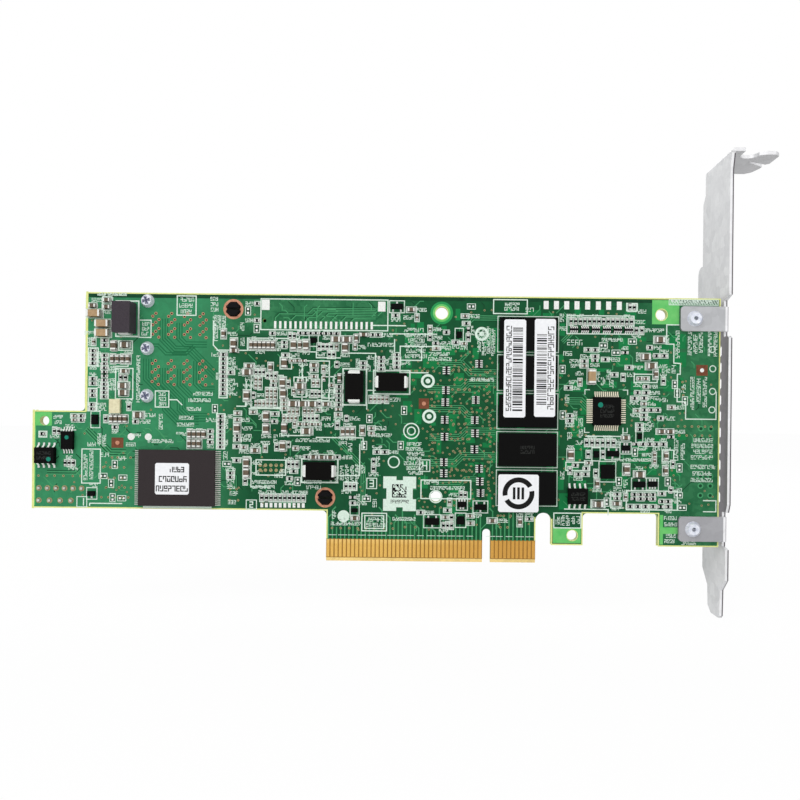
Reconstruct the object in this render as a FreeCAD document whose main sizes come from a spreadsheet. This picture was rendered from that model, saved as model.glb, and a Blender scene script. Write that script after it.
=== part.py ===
"""Low-profile RAID controller card with a full-height bracket, as a parametric FreeCAD document.

Frame: millimetres, +Z up, +X along the card towards the bracket, +Y from the solder side
to the component side.  The origin is the middle of the edge connector's key notch, at the
bottom of the contacts and in the middle of the board's thickness.
"""
import FreeCAD, Part
import math
import os
from collections import namedtuple

import Sketcher

Vector = FreeCAD.Vector

SIZES = (
    # alias, value, what it measures
    ("board_thick", 1.57, "thickness of the circuit board"),
    ("board_length", 167.2, "board, left tab to bracket end"),
    ("board_height", 64.8, "board, contact bottom to top edge"),
    ("board_right", 56.5, "board end beside the bracket, from the key notch"),
    ("board_bottom", 12.2, "lower edge beside the contact tongue"),
    ("left_tab_reach", 12.7, "left tab beyond the main left edge"),
    ("left_tab_top", 35.9, "top of the left tab"),
    ("tongue_left", 38.95, "contact tongue, left of the key notch"),
    ("tongue_right", 11.95, "contact tongue, right of the key notch"),
    ("notch_width", 1.95, "key notch"),
    ("notch_height", 8.15, "top of the key notch"),
    ("small_tab_left", 15.75, "small tab, left side"),
    ("small_tab_right", 23.45, "small tab, right side"),
    ("small_tab_bottom", 4.4, "small tab, lower edge"),
    ("bracket_tab_left", 41.75, "board tab under the bracket, left side"),
    ("bracket_tab_bottom", 4.3, "board tab under the bracket, lower edge"),
    ("board_corner", 1.0, "rounding of the board's corners"),
    ("bevel_height", 1.0, "bevel on the contact tongue, along the board"),
    ("bevel_depth", 0.38, "bevel on the contact tongue, into the board"),
    ("finger_pitch", 1.0, "contact pitch"),
    ("finger_width", 0.7, "contact width"),
    ("finger_top", 5.3, "upper end of the contacts"),
    ("finger_bottom", 1.05, "lower end of the contacts"),
    ("finger_plating", 0.05, "thickness of a contact"),
    ("finger_first", 1.5, "first contact beside the notch, from its centre"),
    ("fingers_left", 38, "contacts left of the notch"),
    ("fingers_right", 11, "contacts right of the notch"),
    ("sheet_thick", 0.86, "bracket sheet"),
    ("bracket_gap", 0.95, "board end to the bracket's inner face"),
    ("bracket_width", 18.42, "bracket, across its slot"),
    ("bracket_near", 1.9, "bracket edge beyond the solder side"),
    ("bracket_swell", 0.9, "extra width between the folded tabs"),
    ("near_step", 2.4, "near edge set back above the upper folded tab"),
    ("lug_reach", 2.2, "lug on the far edge"),
    ("lug_low", 65.0, "lug on the far edge, lower end"),
    ("lug_high", 70.2, "lug on the far edge, upper end"),
    ("neck_inset", 2.7, "far edge set back under the ear"),
    ("neck_low", 94.0, "start of the set-back under the ear"),
    ("bracket_top", 100.2, "top of the bracket's ear"),
    ("bracket_tip", 13.4, "bracket tail below the contacts"),
    ("tail_width", 8.05, "bracket tail"),
    ("tail_inset", 3.35, "tail edge in from the near edge"),
    ("lower_inset", 3.0, "far edge set back above the tail"),
    ("upper_inset", 1.1, "far edge set back above the lug"),
    ("spur_reach", 2.2, "near corner of the ear beyond the near edge"),
    ("ear_reach", 11.7, "ear beyond the bracket's outer face"),
    ("ear_slot_width", 4.42, "screw slot in the ear"),
    ("ear_slot_depth", 2.9, "screw slot in the ear, from the near edge"),
    ("ear_slot_place", 4.5, "screw slot centre, from the outer face"),
    ("ear_inset", 4.0, "far edge of the ear, in from the plate's"),
    ("slit_place", 6.4, "slit in the ear, from the outer face to its inner end"),
    ("slit_height", 5.5, "slit in the ear, from the near edge"),
    ("bend_outside", 0.77, "outside radius of the bracket's folds"),
    ("fold_relief", 0.35, "relief cut beside a fold, past the sheet"),
    ("fold_width", 6.0, "folded mounting tabs, along the bracket"),
    ("fold_reach", 10.9, "folded mounting tabs, in from the bracket"),
    ("fold_corner", 0.9, "rounding of the folded mounting tabs"),
    ("upper_fold", 59.75, "upper folded tab, centre height"),
    ("lower_fold", 8.7, "lower folded tab, centre height"),
    ("vent_size", 3.3, "vent hole across its flats"),
    ("vent_pitch", 4.0, "vent pitch"),
    ("vent_rows", 10, "vents along the bracket"),
    ("vent_columns", 3, "vents across the bracket"),
    ("vent_low", 16.2, "lowest vent centre"),
    ("rivet_head", 3.8, "rivet head diameter"),
    ("rivet_dome", 0.9, "rivet head height"),
    ("rivet_shank", 2.5, "rivet shank diameter"),
    ("rivet_flare", 3.6, "rivet flare on the component side, across"),
    ("rivet_bore", 1.0, "hole through the rivet"),
    ("rivet_inset", 7.45, "rivet centre, in from the inner face"),
    ("running_gap", 0.05, "clearance round pins and shanks"),
    ("port_pitch", 11.55, "distance between the two ports"),
    ("port_middle", 51.25, "middle of the port pair, height"),
    ("port_front", 98.2, "port face, left of the key notch"),
    ("port_length", 31.2, "port housing, along the card"),
    ("port_tall", 9.8, "port housing, off the board"),
    ("port_margin", 1.35, "port housing beyond the screws"),
    ("cavity_wide", 9.3, "port cavity, across"),
    ("cavity_tall", 7.8, "port cavity, off the board"),
    ("cavity_depth", 14.0, "port cavity, from the face"),
    ("cavity_floor", 1.1, "housing floor under the cavity"),
    ("insert_length", 6.2, "contact carrier, along the port"),
    ("insert_wide", 8.3, "contact carrier, across"),
    ("insert_tall", 5.2, "contact carrier, off the floor"),
    ("card_slot", 1.2, "card slot in the contact carrier"),
    ("card_slot_depth", 5.2, "card slot depth"),
    ("card_slot_place", 1.25, "card slot, from the carrier's middle"),
    ("contact_pitch", 0.75, "port contact pitch"),
    ("contact_width", 0.32, "port contact width"),
    ("contact_thick", 0.15, "port contact thickness"),
    ("shell_thick", 0.35, "port shell sheet"),
    ("screw_head", 3.3, "port screw head diameter"),
    ("screw_dome", 1.15, "port screw head height"),
    ("screw_shank", 1.5, "port screw shank diameter"),
    ("screw_length", 5.0, "port screw under the head, past the board"),
    ("screw_place", 83.0, "port screws, left of the key notch"),
    ("cross_width", 0.45, "screw cross recess width"),
    ("cross_span", 1.9, "screw cross recess span"),
    ("cross_depth", 0.6, "screw cross recess depth"),
    ("sink_x", 50.7, "heatsink centre, left of the key notch"),
    ("sink_z", 38.2, "heatsink centre, height"),
    ("sink_wide", 29.0, "heatsink, along the card"),
    ("sink_tall", 51.0, "heatsink, up the card"),
    ("sink_base", 2.4, "heatsink base thickness"),
    ("fin_height", 7.0, "heatsink fins"),
    ("fin_thick", 0.9, "heatsink fin thickness"),
    ("fin_pitch", 2.63, "heatsink fin pitch"),
    ("fin_count", 20, "heatsink fins"),
    ("pin_offset_x", 11.4, "push pin, from the heatsink's centre, along the card"),
    ("pin_offset_z", 22.8, "push pin, from the heatsink's centre, up the card"),
    ("pin_shank", 3.0, "push pin shank diameter"),
    ("pin_head", 5.4, "push pin head diameter"),
    ("pin_head_thick", 1.2, "push pin head thickness"),
    ("pin_room", 1.4, "room round a push pin head among the fins"),
    ("pin_tip", 0.6, "push pin barb beyond the solder side"),
    ("pin_barb", 3.9, "push pin barb, across its corners"),
    ("pin_barb_slope", 30, "push pin barb, degrees of taper"),
    ("pin_slit", 0.6, "slit through the push pin tip"),
    ("spring_room", 0.7, "push pin spring, inside over the shank"),
    ("spring_height", 3.6, "push pin spring, fitted"),
    ("spring_wall", 0.6, "push pin spring wire"),
    ("pin_hole", 3.25, "push pin hole"),
    ("ball_height", 0.45, "solder balls under the controller"),
    ("ball_margin", 0.8, "controller edge beyond its solder balls"),
    ("substrate_side", 27.0, "controller substrate side"),
    ("substrate_thick", 1.1, "controller substrate"),
    ("lid_side", 19.0, "controller lid side"),
    ("lid_thick", 1.5, "controller lid"),
    ("lid_step", 1.2, "width of the step round the lid"),
    ("pad_thick", 0.3, "thermal pad"),
    ("memory_length", 14.0, "memory chip, along the card"),
    ("memory_width", 7.9, "memory chip, up the card"),
    ("memory_thick", 1.1, "memory chip thickness"),
    ("memory_pitch", 9.35, "memory chips, centre to centre"),
    ("memory_x", 9.7, "memory column, from the key notch"),
    ("memory_low", 18.2, "lowest memory chip centre"),
    ("label_thick", 0.12, "paper label"),
    ("lead_thick", 0.15, "chip lead thickness"),
    ("package_draft", 8.0, "draft of a moulded package, degrees"),
    ("flash_length", 18.6, "flash memory body, along the card"),
    ("flash_width", 13.7, "flash memory body, up the card"),
    ("flash_thick", 1.1, "flash memory body thickness"),
    ("flash_x", -75.2, "flash memory centre"),
    ("flash_z", 19.8, "flash memory centre height"),
    ("flash_lead_pitch", 0.5, "flash memory lead pitch"),
    ("flash_leads", 27, "flash memory leads on one side"),
    ("flash_lead_reach", 1.15, "flash memory leads beyond the body"),
    ("flash_lead_width", 0.24, "flash memory lead width"),
    ("logic_side", 6.9, "logic chip body side"),
    ("logic_thick", 1.3, "logic chip thickness"),
    ("logic_x", 28.85, "logic chip centre"),
    ("logic_z", 37.1, "logic chip centre height"),
    ("logic_lead_pitch", 0.5, "logic chip lead pitch"),
    ("logic_leads", 12, "logic chip leads on one side"),
    ("logic_lead_reach", 1.3, "logic chip leads beyond the body"),
    ("logic_lead_width", 0.25, "logic chip lead width"),
    ("standoff", 0.1, "gap under a moulded package"),
    ("foot_share", 0.55, "share of a bent lead that lies on its pad"),
    ("eight_lead_length", 4.9, "eight-lead chip, along its lead rows"),
    ("eight_lead_width", 3.9, "eight-lead chip, between its lead rows"),
    ("eight_lead_thick", 1.45, "eight-lead chip thickness"),
    ("eight_lead_pitch", 1.27, "eight-lead chip lead pitch"),
    ("eight_lead_reach", 1.1, "eight-lead chip leads beyond the body"),
    ("eight_lead_flat", 0.45, "eight-lead chip lead width"),
    ("slim_length", 3.0, "slim eight-lead chip, along its lead rows"),
    ("slim_width", 4.4, "slim eight-lead chip, between its lead rows"),
    ("slim_thick", 0.95, "slim eight-lead chip thickness"),
    ("slim_pitch", 0.65, "slim eight-lead chip lead pitch"),
    ("slim_reach", 1.0, "slim eight-lead chip leads beyond the body"),
    ("slim_flat", 0.28, "slim eight-lead chip lead width"),
    ("tantalum_length", 7.4, "polymer capacitor body length"),
    ("tantalum_width", 4.3, "polymer capacitor body width"),
    ("tantalum_thick", 2.0, "polymer capacitor height"),
    ("tall_capacitor_thick", 4.1, "tall polymer capacitor height"),
    ("terminal_reach", 0.35, "polymer capacitor terminal beyond its body"),
    ("terminal_width", 2.5, "polymer capacitor terminal width"),
    ("crystal_x", -90.5, "crystal centre"),
    ("crystal_z", 37.1, "crystal centre height"),
    ("crystal_length", 3.4, "crystal, up the card"),
    ("crystal_width", 2.6, "crystal, along the card"),
    ("crystal_thick", 0.9, "crystal height"),
    ("header_base", 2.5, "pin header base height"),
    ("header_depth", 2.3, "pin header base width"),
    ("header_pin", 0.6, "pin header pin side"),
    ("header_pin_top", 8.6, "pin header pin above the board"),
    ("header_tail", 0.35, "pin header pin beyond the solder side"),
    ("header_hole", 0.98, "pin header hole"),
    ("signal_pitch", 2.08, "six-pin header pitch"),
    ("battery_pitch", 2.6, "four-pin header pitch"),
    ("inductor_side", 6.6, "power inductor side"),
    ("inductor_thick", 3.0, "power inductor height"),
    ("inductor_step", 0.6, "step round a power inductor's top"),
    ("mezzanine_length", 22.0, "module connector, up the card"),
    ("mezzanine_width", 5.2, "module connector, along the card"),
    ("mezzanine_thick", 4.3, "module connector height"),
    ("mezzanine_x", -14.0, "module connector centre"),
    ("mezzanine_z", 38.0, "module connector centre height"),
    ("trough_place", 1.25, "module connector contact troughs, from its middle"),
    ("trough_width", 0.9, "module connector contact trough width"),
    ("trough_end", 1.2, "module connector wall at a trough's end"),
    ("barcode_width", 5.3, "barcode label, along the card"),
    ("barcode_length", 23.7, "barcode label, up the card"),
    ("ring_label_width", 9.8, "ring label, along the card"),
    ("ring_label_height", 9.1, "ring label, up the card"),
    ("flash_label_width", 8.2, "flash label, along the card"),
    ("flash_label_height", 7.6, "flash label, up the card"),
    ("label_corner", 0.35, "clipped off each label corner"),
)

# chip parts by nominal size: length, width, height
CHIP_SIZES = {
    "resistors_0402": (1.0, 0.5, 0.35),
    "capacitors_0402": (1.0, 0.5, 0.5),
    "capacitors_0603": (1.6, 0.8, 0.8),
    "capacitors_0805": (2.0, 1.25, 0.95),
    "capacitors_1206": (3.2, 1.6, 1.4),
    "resistor_arrays": (2.1, 1.1, 0.5),
}


class Dim:
    """A size together with the spreadsheet expression that it comes from."""

    def __init__(self, value, text):
        self.value = value
        self.text = text

    def join(self, sign, other, result, swap=False):
        other = lift(other)
        left, right = (other, self) if swap else (self, other)
        return Dim(result(left.value, right.value), f"({left.text} {sign} {right.text})")

    def __add__(self, other):
        return self.join("+", other, lambda a, b: a + b)

    def __radd__(self, other):
        return self.join("+", other, lambda a, b: a + b, swap=True)

    def __sub__(self, other):
        return self.join("-", other, lambda a, b: a - b)

    def __rsub__(self, other):
        return self.join("-", other, lambda a, b: a - b, swap=True)

    def __mul__(self, other):
        return self.join("*", other, lambda a, b: a * b)

    def __rmul__(self, other):
        return self.join("*", other, lambda a, b: a * b, swap=True)

    def __truediv__(self, other):
        return self.join("/", other, lambda a, b: a / b)

    def __neg__(self):
        return Dim(-self.value, f"(0 - {self.text})")


def lift(number):
    return number if isinstance(number, Dim) else Dim(float(number), f"{float(number):.6f}")


doc = FreeCAD.newDocument("raid_controller_card")
sheet = doc.addObject("Spreadsheet::Sheet", "Sizes")
for line, (alias, number, note) in enumerate(SIZES, start=1):
    sheet.set(f"A{line}", note)
    sheet.set(f"B{line}", str(number))
    sheet.setAlias(f"B{line}", alias)
doc.recompute()


class Sizes:
    """Gives each aliased cell of the sheet as a Dim."""

    def __getattr__(self, alias):
        return Dim(float(getattr(sheet, alias)), f"Sizes.{alias}")


S = Sizes()
HALF_BOARD = S.board_thick / 2
PARTS = []


def bind(thing, path, size):
    """Sets one property from a size and keeps it tied to the sheet."""
    thing.setExpression(path, lift(size).text)


def place(thing, x, y, z):
    """Puts an object at a point whose coordinates stay tied to the sheet."""
    at = [lift(number) for number in (x, y, z)]
    thing.Placement = FreeCAD.Placement(Vector(*[number.value for number in at]), FreeCAD.Rotation())
    for axis, number in zip("xyz", at):
        bind(thing, f"Placement.Base.{axis}", number)


def new_body(name, x=0, y=0, z=0):
    body = doc.addObject("PartDesign::Body", name)
    body.Label = name
    body.AllowCompound = True
    place(body, x, y, z)
    PARTS.append(body)
    return body


def origin_item(body, role):
    return [item for item in body.Origin.OriginFeatures if item.Role == role][0]


def new_sketch(body, name, role, offset=0):
    """Starts a sketch on one of the body's own planes, moved along the plane's normal."""
    sketch = body.newObject("Sketcher::SketchObject", name)
    sketch.AttachmentSupport = [(origin_item(body, role), "")]
    sketch.MapMode = "FlatFace"
    offset = lift(offset)
    sketch.AttachmentOffset = FreeCAD.Placement(Vector(0, 0, offset.value), FreeCAD.Rotation())
    bind(sketch, "AttachmentOffset.Base.z", offset)
    return sketch


def tie_point(sketch, index, corner, x, y):
    """Ties one sketch point to the sketch's origin by its two coordinates."""
    for kind, size in (("DistanceX", lift(x)), ("DistanceY", lift(y))):
        if size.value < 0:
            rule = Sketcher.Constraint(kind, index, corner, -1, 1, -size.value)
            size = -size
        else:
            rule = Sketcher.Constraint(kind, -1, 1, index, corner, size.value)
        number = sketch.addConstraint(rule)
        sketch.setExpression(f"Constraints[{number}]", size.text)


def polygon(sketch, points):
    """Closed outline of straight edges through the given corners."""
    corners = [(lift(x), lift(y)) for x, y in points]
    first = None
    for here, there in zip(corners, corners[1:] + corners[:1]):
        start = Vector(here[0].value, here[1].value, 0)
        end = Vector(there[0].value, there[1].value, 0)
        index = sketch.addGeometry(Part.LineSegment(start, end), False)
        if first is None:
            first = index
        else:
            sketch.addConstraint(Sketcher.Constraint("Coincident", index - 1, 2, index, 1))
        tie_point(sketch, index, 1, *here)
    sketch.addConstraint(Sketcher.Constraint("Coincident", index, 2, first, 1))


def rectangle(sketch, x, y, width, height):
    """Closed rectangle about a centre."""
    x, y, width, height = [lift(number) for number in (x, y, width, height)]
    polygon(sketch, [(x - width / 2, y - height / 2), (x + width / 2, y - height / 2),
                     (x + width / 2, y + height / 2), (x - width / 2, y + height / 2)])


def circle(sketch, x, y, diameter):
    x, y, radius = lift(x), lift(y), lift(diameter) / 2
    centre = Vector(x.value, y.value, 0)
    index = sketch.addGeometry(Part.Circle(centre, Vector(0, 0, 1), radius.value), False)
    tie_point(sketch, index, 3, x, y)
    number = sketch.addConstraint(Sketcher.Constraint("Radius", index, radius.value))
    sketch.setExpression(f"Constraints[{number}]", radius.text)


def octagon(sketch, x, y, across, flats=True):
    """Eight-sided outline for small repeated holes and shanks, measured across its flats or its corners."""
    turn = math.pi / 8
    radius = lift(across) * (0.5 / math.cos(turn) if flats else 0.5)
    angles = [turn * (2 * side + 1) for side in range(8)]
    polygon(sketch, [(x + radius * math.cos(angle), y + radius * math.sin(angle)) for angle in angles])


def pad(body, sketch, name, length, reverse=False):
    feature = body.newObject("PartDesign::Pad", name)
    feature.Profile = sketch
    bind(feature, "Length", length)
    feature.Reversed = reverse
    return feature


def pocket(body, sketch, name, length, reverse=False):
    feature = body.newObject("PartDesign::Pocket", name)
    feature.Profile = sketch
    bind(feature, "Length", length)
    feature.Reversed = reverse
    return feature


def revolve(body, sketch, name, axis_role):
    feature = body.newObject("PartDesign::Revolution", name)
    feature.Profile = sketch
    feature.ReferenceAxis = (origin_item(body, axis_role), [""])
    feature.Angle = 360.0
    return feature


def repeat(body, originals, name, runs):
    """Repeats features along the body's axes: runs are (axis role, pitch, count)."""
    moves = []
    for number, (role, pitch, count) in enumerate(runs):
        move = body.newObject("PartDesign::LinearPattern", f"{name}_run_{number}")
        move.Direction = (origin_item(body, role), [""])
        bind(move, "Length", lift(pitch) * (lift(count) - 1))
        bind(move, "Occurrences", count)
        moves.append(move)
    if len(moves) == 1:
        moves[0].Originals = originals
        body.Tip = moves[0]
        return moves[0]
    group = body.newObject("PartDesign::MultiTransform", name)
    group.Originals = originals
    group.Transformations = moves
    body.Tip = group
    return group


def corner_edges(feature, direction, spots, flat):
    """Names the straight edges that run in a direction through the given flat positions."""
    names = []
    for number, edge in enumerate(feature.Shape.Edges, start=1):
        ends = [vertex.Point for vertex in edge.Vertexes]
        if len(ends) != 2 or abs((ends[1] - ends[0]).normalize().dot(direction)) < 0.999:
            continue
        here = flat(ends[0])
        if any(math.dist(here, (lift(u).value, lift(v).value)) < 0.01 for u, v in spots):
            names.append(f"Edge{number}")
    return names


def round_corners(body, feature, name, radius, direction, spots, flat):
    doc.recompute()
    fillet = body.newObject("PartDesign::Fillet", name)
    fillet.Base = (feature, corner_edges(feature, direction, spots, flat))
    bind(fillet, "Radius", radius)
    return fillet


def box(name, x, y, z, wide, deep, tall):
    """Plain block given by its lowest corner, kept as its own part."""
    block = doc.addObject("Part::Box", name)
    block.Label = name
    for path, size in (("Length", wide), ("Width", deep), ("Height", tall)):
        bind(block, path, size)
    place(block, x, y, z)
    PARTS.append(block)
    return block


def solder_side_box(name, x, z, wide, tall, thick, lift_off=0):
    """Block on the solder side, centred on a board position."""
    x, z, wide, tall, thick = [lift(number) for number in (x, z, wide, tall, thick)]
    return box(name, x - wide / 2, -HALF_BOARD - thick - lift_off, z - tall / 2, wide, thick, tall)


def front_box(name, x, z, wide, tall, thick, lift_off=0):
    """Block on the component side, centred on a board position."""
    x, z, wide, tall, thick = [lift(number) for number in (x, z, wide, tall, thick)]
    return box(name, x - wide / 2, HALF_BOARD + lift_off, z - tall / 2, wide, thick, tall)


def on_xz(point):
    return (point.x, point.z)


# ---------------------------------------------------------------- circuit board

ALONG_Y = Vector(0, 1, 0)
ALONG_Z = Vector(0, 0, 1)

BOARD_LEFT = S.board_right - S.board_length
MAIN_LEFT = BOARD_LEFT + S.left_tab_reach

INNER_FACE = S.board_right + S.bracket_gap
OUTER_FACE = INNER_FACE + S.sheet_thick
RIVET_X = INNER_FACE - S.rivet_inset
RIVETS = ((RIVET_X, S.upper_fold), (RIVET_X, S.lower_fold))

PORT_SCREWS = [(-S.screw_place, S.port_middle + S.port_pitch * step) for step in (-1, 0, 1)]
PUSH_PINS = [(-S.sink_x - S.pin_offset_x, S.sink_z + S.pin_offset_z),
             (-S.sink_x + S.pin_offset_x, S.sink_z - S.pin_offset_z)]

# plain holes: x, z, diameter
TOOLING_HOLES = ((-11.4, 60.6, 3.0), (-12.4, 15.9, 2.6), (42.1, 60.7, 2.7), (20.9, 6.8, 2.5))
LOCATING_HOLES = ((-54.5, 58.3, 0.9), (-29.3, 15.9, 0.8))
LEFT_TAB_HOLE = (BOARD_LEFT + 2.9, 33.4, 2.3)

SIGNAL_HEADER = (BOARD_LEFT + 1.7, 17.0, S.signal_pitch, 6)
BATTERY_HEADER = (BOARD_LEFT + 1.7, 14.0, S.battery_pitch, 4)


def header_spots(header):
    x, z, pitch, count = header
    return [(x + pitch * step, z) for step in range(count)]


def build_board():
    body = new_body("circuit_board")
    outline = new_sketch(body, "board_outline", "XZ_Plane", -HALF_BOARD)
    low = S.board_bottom
    corners = [
        (-S.tongue_left, 0), (S.tongue_right, 0), (S.tongue_right, low),
        (S.small_tab_left, low), (S.small_tab_left, S.small_tab_bottom),
        (S.small_tab_right, S.small_tab_bottom), (S.small_tab_right, low),
        (S.bracket_tab_left, low), (S.bracket_tab_left, S.bracket_tab_bottom),
        (S.board_right, S.bracket_tab_bottom), (S.board_right, S.board_height),
        (MAIN_LEFT, S.board_height), (MAIN_LEFT, S.left_tab_top),
        (BOARD_LEFT, S.left_tab_top), (BOARD_LEFT, low), (-S.tongue_left, low),
    ]
    polygon(outline, corners)
    slab = pad(body, outline, "board_slab", S.board_thick)
    gap_ends = [(S.tongue_right, low), (S.small_tab_left, low)]
    others = [corners[4], corners[5], corners[6], corners[7], corners[8], corners[9],
              corners[12], corners[15]]
    smooth = round_corners(body, slab, "gap_rounding", (S.small_tab_left - S.tongue_right) * 0.49,
                           ALONG_Y, gap_ends, on_xz)
    round_corners(body, smooth, "corner_rounding", S.board_corner, ALONG_Y, others, on_xz)

    notch = new_sketch(body, "key_notch", "XZ_Plane", HALF_BOARD)
    middle = S.notch_height - S.notch_width / 2
    rectangle(notch, 0, middle / 2, S.notch_width, middle)
    pocket(body, notch, "key_notch_cut", S.board_thick)
    notch_end = new_sketch(body, "key_notch_end", "XZ_Plane", HALF_BOARD)
    circle(notch_end, 0, middle, S.notch_width)
    pocket(body, notch_end, "key_notch_round", S.board_thick)

    for side, name in ((-1, "solder"), (1, "component")):
        bevel = new_sketch(body, f"bevel_{name}", "YZ_Plane", S.tongue_right)
        face = HALF_BOARD * side
        polygon(bevel, [(face - S.bevel_depth * side, 0), (face, 0), (face, S.bevel_height)])
        pocket(body, bevel, f"bevel_{name}_cut", S.tongue_right + S.tongue_left)

    holes = new_sketch(body, "round_holes", "XZ_Plane", HALF_BOARD)
    for x, z, diameter in TOOLING_HOLES + (LEFT_TAB_HOLE,):
        circle(holes, x, z, diameter)
    pocket(body, holes, "round_holes_cut", S.board_thick)
    small = new_sketch(body, "shank_holes", "XZ_Plane", HALF_BOARD)
    for x, z, diameter in LOCATING_HOLES:
        octagon(small, x, z, diameter)
    for x, z in PUSH_PINS:
        octagon(small, x, z, S.pin_hole)
    for x, z in RIVETS:
        octagon(small, x, z, S.rivet_shank + S.running_gap * 2)
    for x, z in PORT_SCREWS:
        octagon(small, x, z, S.screw_shank + S.running_gap * 4)
    for x, z in header_spots(SIGNAL_HEADER) + header_spots(BATTERY_HEADER):
        octagon(small, x, z, S.header_hole)
    pocket(body, small, "shank_holes_cut", S.board_thick)


def build_contacts():
    tall = S.finger_top - S.finger_bottom
    for name, surface, reverse in (("edge_contacts_back", HALF_BOARD, False),
                                   ("edge_contacts_front", -HALF_BOARD, True)):
        body = new_body(name)
        for side, count in ((-1, S.fingers_left), (1, S.fingers_right)):
            sketch = new_sketch(body, f"{name}_{'left' if side < 0 else 'right'}", "XZ_Plane", surface)
            end = S.finger_first + S.finger_pitch * (count - 1) if side < 0 else S.finger_first
            rectangle(sketch, end * side, S.finger_bottom + tall / 2, S.finger_width, tall)
            strip = pad(body, sketch, f"{sketch.Name}_pad", S.finger_plating, reverse)
            repeat(body, [strip], f"{sketch.Name}_row", [("X_Axis", S.finger_pitch, count)])


# ---------------------------------------------------------------- bracket

NEAR_EDGE = -HALF_BOARD - S.bracket_near
FAR_EDGE = NEAR_EDGE + S.bracket_width
SPUR_EDGE = NEAR_EDGE - S.spur_reach
FOLD_FACE = -HALF_BOARD - S.sheet_thick


def bend_edge(edge):
    """Tells whether an edge is the outside of one of the bracket's folds."""
    ends = [vertex.Point for vertex in edge.Vertexes]
    if len(ends) != 2:
        return False
    middle = (ends[0] + ends[1]) * 0.5
    along = (ends[1] - ends[0]).normalize()
    near = 0.01
    at_fold = abs(middle.y - FOLD_FACE.value) < near and abs(middle.x - OUTER_FACE.value) < near
    at_ear = abs(middle.z - S.bracket_top.value) < near and abs(middle.x - INNER_FACE.value) < near
    upright = abs(along.dot(ALONG_Z)) > 0.999
    level = abs(along.dot(ALONG_Y)) > 0.999
    return (upright and at_fold) or (level and at_ear)


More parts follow.
